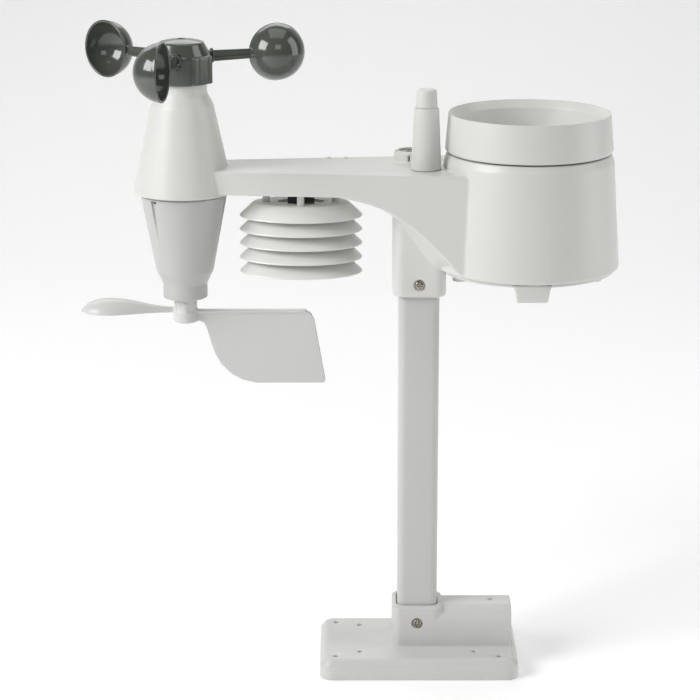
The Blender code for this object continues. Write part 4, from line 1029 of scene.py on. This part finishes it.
def circuit_board(name):
    """Solder mask over fine copper tracks, with pale pads scattered on it."""
    made, tree, shader, coordinates = new_material(name)
    tracks = node(tree, "ShaderNodeTexVoronoi", feature="DISTANCE_TO_EDGE", Scale=420.0)
    pads = node(tree, "ShaderNodeTexVoronoi", Scale=330.0)
    for texture in (tracks, pads):
        tree.links.new(coordinates, texture.inputs["Vector"])
    line = ranged(tree, tracks.outputs["Distance"], 1.0, 0.0, 0.02, 0.08)
    mask = blended(tree, line, (0.012, 0.13, 0.045), (0.03, 0.24, 0.09))
    tinned = ranged(tree, pads.outputs["Distance"], 1.0, 0.0, 0.10, 0.16)
    both = node(tree, "ShaderNodeMix", data_type="RGBA")
    tree.links.new(tinned, both.inputs["Factor"])
    tree.links.new(mask, both.inputs["A"])
    both.inputs["B"].default_value = (0.6, 0.58, 0.5, 1.0)
    tree.links.new(both.outputs["Result"], shader.inputs["Base Color"])
    tree.links.new(ranged(tree, noise(tree, coordinates, 200.0), 0.3, 0.45), shader.inputs["Roughness"])
    tree.links.new(bumped(tree, line, 0.4, 0.00005), shader.inputs["Normal"])
    return made


def cell_wrap(name):
    """Printed sleeve of a dry cell: dark, with a copper-coloured band at its rear end."""
    made, tree, shader, coordinates = new_material(name)
    split = node(tree, "ShaderNodeSeparateXYZ")
    tree.links.new(coordinates, split.inputs["Vector"])
    band = ranged(tree, split.outputs["Y"], 0.0, 1.0, 0.010, 0.0103)
    mixed = blended(tree, band, (0.02, 0.022, 0.025), (0.55, 0.26, 0.10))
    scuffs = noise(tree, coordinates, 500.0, 5.0)
    tree.links.new(mixed, shader.inputs["Base Color"])
    tree.links.new(ranged(tree, scuffs, 0.2, 0.4), shader.inputs["Roughness"])
    tree.links.new(bumped(tree, scuffs, 0.15, 0.00004), shader.inputs["Normal"])
    return made


# Putting it together


def dressed(obj, body, nodes, material):
    """Gives a piece its material and body, and hides the CAD nodes that it stands for."""
    obj.data.materials.clear()
    obj.data.materials.append(material)
    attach(obj, body)
    if nodes:
        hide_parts(*nodes)


def coarse(step):
    """The grid step as it is; the place to make the grid coarser while trying things out."""
    return step


def make_shell():
    shell = sculpted("head_shell", shell_distance, (-172, -57, 233), (122, 57, 367), coarse(0.8))
    dressed(shell, "station", ["body_shell"], white_plastic("shell_plastic", 1.0))


def make_base():
    base = sculpted("base_casting", base_distance, (-61, -39, -1), (63, 39, 40.5), coarse(0.6))
    # The base's darker white paints in the shade that falls on it
    dressed(base, "station", ["base_stand"], white_plastic("base_plastic", 2.0, BASE_SHADED_WHITE))


def make_mast():
    outline = []
    for sign_x, sign_y, first in ((1, 1, 0), (-1, 1, 90), (-1, -1, 180), (1, -1, 270)):
        for i in range(13):
            angle = math.radians(first + 90 * i / 12)
            x = sign_x * (MAST_HALF - MAST_CORNER) + MAST_CORNER * math.cos(angle)
            y = sign_y * (MAST_HALF - MAST_CORNER) + MAST_CORNER * math.sin(angle)
            outline.append((x, y))
    levels = [(0.93, 3.4), (0.99, 3.8), (1.0, 4.6), (1.0, 90.0), (1.0, 180.0), (1.0, 271.0), (0.98, 272.0)]
    points = [(x * k, y * k, z) for k, z in levels for x, y in outline]
    count = len(outline)
    faces = [tuple(range(count)), tuple(range(len(points) - count, len(points)))]
    for level in range(len(levels) - 1):
        for i in range(count):
            j = (i + 1) % count
            low = level * count
            faces.append((low + i, low + j, low + count + j, low + count + i))
    mast = object_from_polygons("mast_tube", points, faces, 40)
    # The mast's darker white paints in the shade that falls on it
    dressed(mast, "station", ["mast_pole"], white_plastic("mast_plastic", 7.0, MAST_SHADED_WHITE))


def make_lower_cone():
    lower = sculpted("tower_foot", lower_cone_distance, (-168, -28, 231), (-112, 28, 302), coarse(0.5))
    # The tower foot's darker white paints in the shade that falls on it
    plastic = white_plastic("tower_plastic", 8.0, TOWER_FOOT_SHADED_WHITE)
    dressed(lower, "station", ["lower_cone"], plastic)


def make_cup_wheel():
    gloss = cup_plastic("cup_gloss", 9.0)
    hub = sculpted("cup_boss", hub_distance, (-160, -20, 361), (-121, 20, 389), coarse(0.4))
    dressed(hub, "cup_wheel", ["cup_hub"], gloss)
    points, quads = surface_of(cup_distance, (14, -14, -18), (78, 6, 18), coarse(0.4))
    first = object_from("cup_first", points + np.array([TOWER[0], 0.0, CUP_Z]), quads)
    for number, degrees in enumerate(CUP_ANGLES, 1):
        cup = copied(first, f"whirling_cup_{number}", turn_about(TOWER, degrees))
        dressed(cup, "cup_wheel", [f"wind_cup_{number}"], gloss)
    bpy.data.objects.remove(first, do_unlink=True)


def make_vane():
    vane = sculpted("vane_blade", vane_distance, (-204, -13, 177), (-55, 13, 233), coarse(0.45))
    # The vane's darker white paints in the shade that falls on it
    dressed(vane, "vane", ["wind_vane"], white_plastic("vane_plastic", 10.0, VANE_SHADED_WHITE))


def dress_cad_nodes():
    """Materials of the CAD nodes that are shown as they are."""
    looks = {
        "body_plastic": white_plastic("inner_plastic", 11.0),
        "dark_plastic": dark_plastic("inner_dark_plastic", 16.0),
        "steel": metal("plain_steel", (0.42, 0.40, 0.37), 0.3),
        "brass": metal("turned_brass", (0.66, 0.47, 0.20), 0.25),
        "board": circuit_board("circuit_board"),
        "magnet": metal("magnet_plating", (0.22, 0.22, 0.23), 0.35),
    }
    spare = looks["body_plastic"]
    # Painted shade: the thermo board gets dark plastic so that the gap over the louvres reads as the shade
    # there
    shaded = dark_plastic("gap_painted_shade", 17.0)
    for name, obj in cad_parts.items():
        slot = obj.data.materials[0].name.split(".")[0] if obj.data.materials else ""
        obj.data.materials.clear()
        obj.data.materials.append(shaded if name == "thermo_board" else looks.get(slot, spare))


def make_studio():
    """A pale floor that sweeps up into the backdrop."""
    side, near, bend, top = 3.0, -3.0, 1.2, 3.6
    start = 1.0
    profile = [(near, 0.0), (start, 0.0)]
    angles = [math.pi / 2 * i / 16 for i in range(1, 17)]
    profile += [(start + bend * math.sin(a), bend - bend * math.cos(a)) for a in angles]
    profile.append((start + bend, top))
    points = [(x, y, z) for x in (-side, side) for y, z in profile]
    count = len(profile)
    mesh = bpy.data.meshes.new("studio_floor")
    mesh.from_pydata(points, [], [(i, i + 1, count + i + 1, count + i) for i in range(count - 1)])
    mesh.shade_smooth()
    floor = bpy.data.objects.new("studio_floor", mesh)
    bpy.context.collection.objects.link(floor)
    paper, tree, shader, coordinates = new_material("studio_paper")
    fibres = noise(tree, coordinates, 40.0, 5.0)
    tone = blended(tree, fibres, (0.93, 0.93, 0.93), (0.91, 0.91, 0.91))
    tree.links.new(tone, shader.inputs["Base Color"])
    shader.inputs["Roughness"].default_value = 0.9
    shader.inputs["Emission Color"].default_value = (1.0, 1.0, 1.0, 1.0)
    shader.inputs["Emission Strength"].default_value = FLOOR_GLOW
    mesh.materials.append(paper)


def area_light(name, place, size, power):
    data = bpy.data.lights.new(name, "AREA")
    data.shape = "RECTANGLE"
    data.size, data.size_y = size
    data.energy = power
    light = bpy.data.objects.new(name, data)
    light.location = place
    light.rotation_euler = (Vector(LIT_POINT) - Vector(place)).to_track_quat("-Z", "Y").to_euler()
    bpy.context.collection.objects.link(light)


def make_lights():
    for name, (place, size, power) in LIGHTS.items():
        area_light(name, place, size, power)
    world = bpy.data.worlds.new("studio")
    bpy.context.scene.world = world
    world.use_nodes = True
    background = world.node_tree.nodes["Background"]
    background.inputs["Color"].default_value = (1.0, 1.0, 1.0, 1.0)
    background.inputs["Strength"].default_value = WORLD_STRENGTH
    bpy.context.scene.view_settings.view_transform = "Standard"


def make_camera():
    data = bpy.data.cameras.new("camera")
    data.sensor_width = 36.0
    data.lens = 128.57
    camera = bpy.data.objects.new("camera", data)
    camera.location = (-0.0414, -1.4615, 0.5906)
    camera.rotation_euler = (math.radians(75.0), 0.0, 0.0)
    bpy.context.collection.objects.link(camera)
    bpy.context.scene.camera = camera


def main():
    make_shell()
    make_base()
    make_mast()
    make_mast_screws()
    make_lower_cone()
    make_cup_wheel()
    make_vane()
    make_louvres()
    make_collector()
    make_antenna()
    make_level()
    make_gauge_floor()
    dress_cad_nodes()
    make_studio()
    make_lights()
    make_camera()


main()
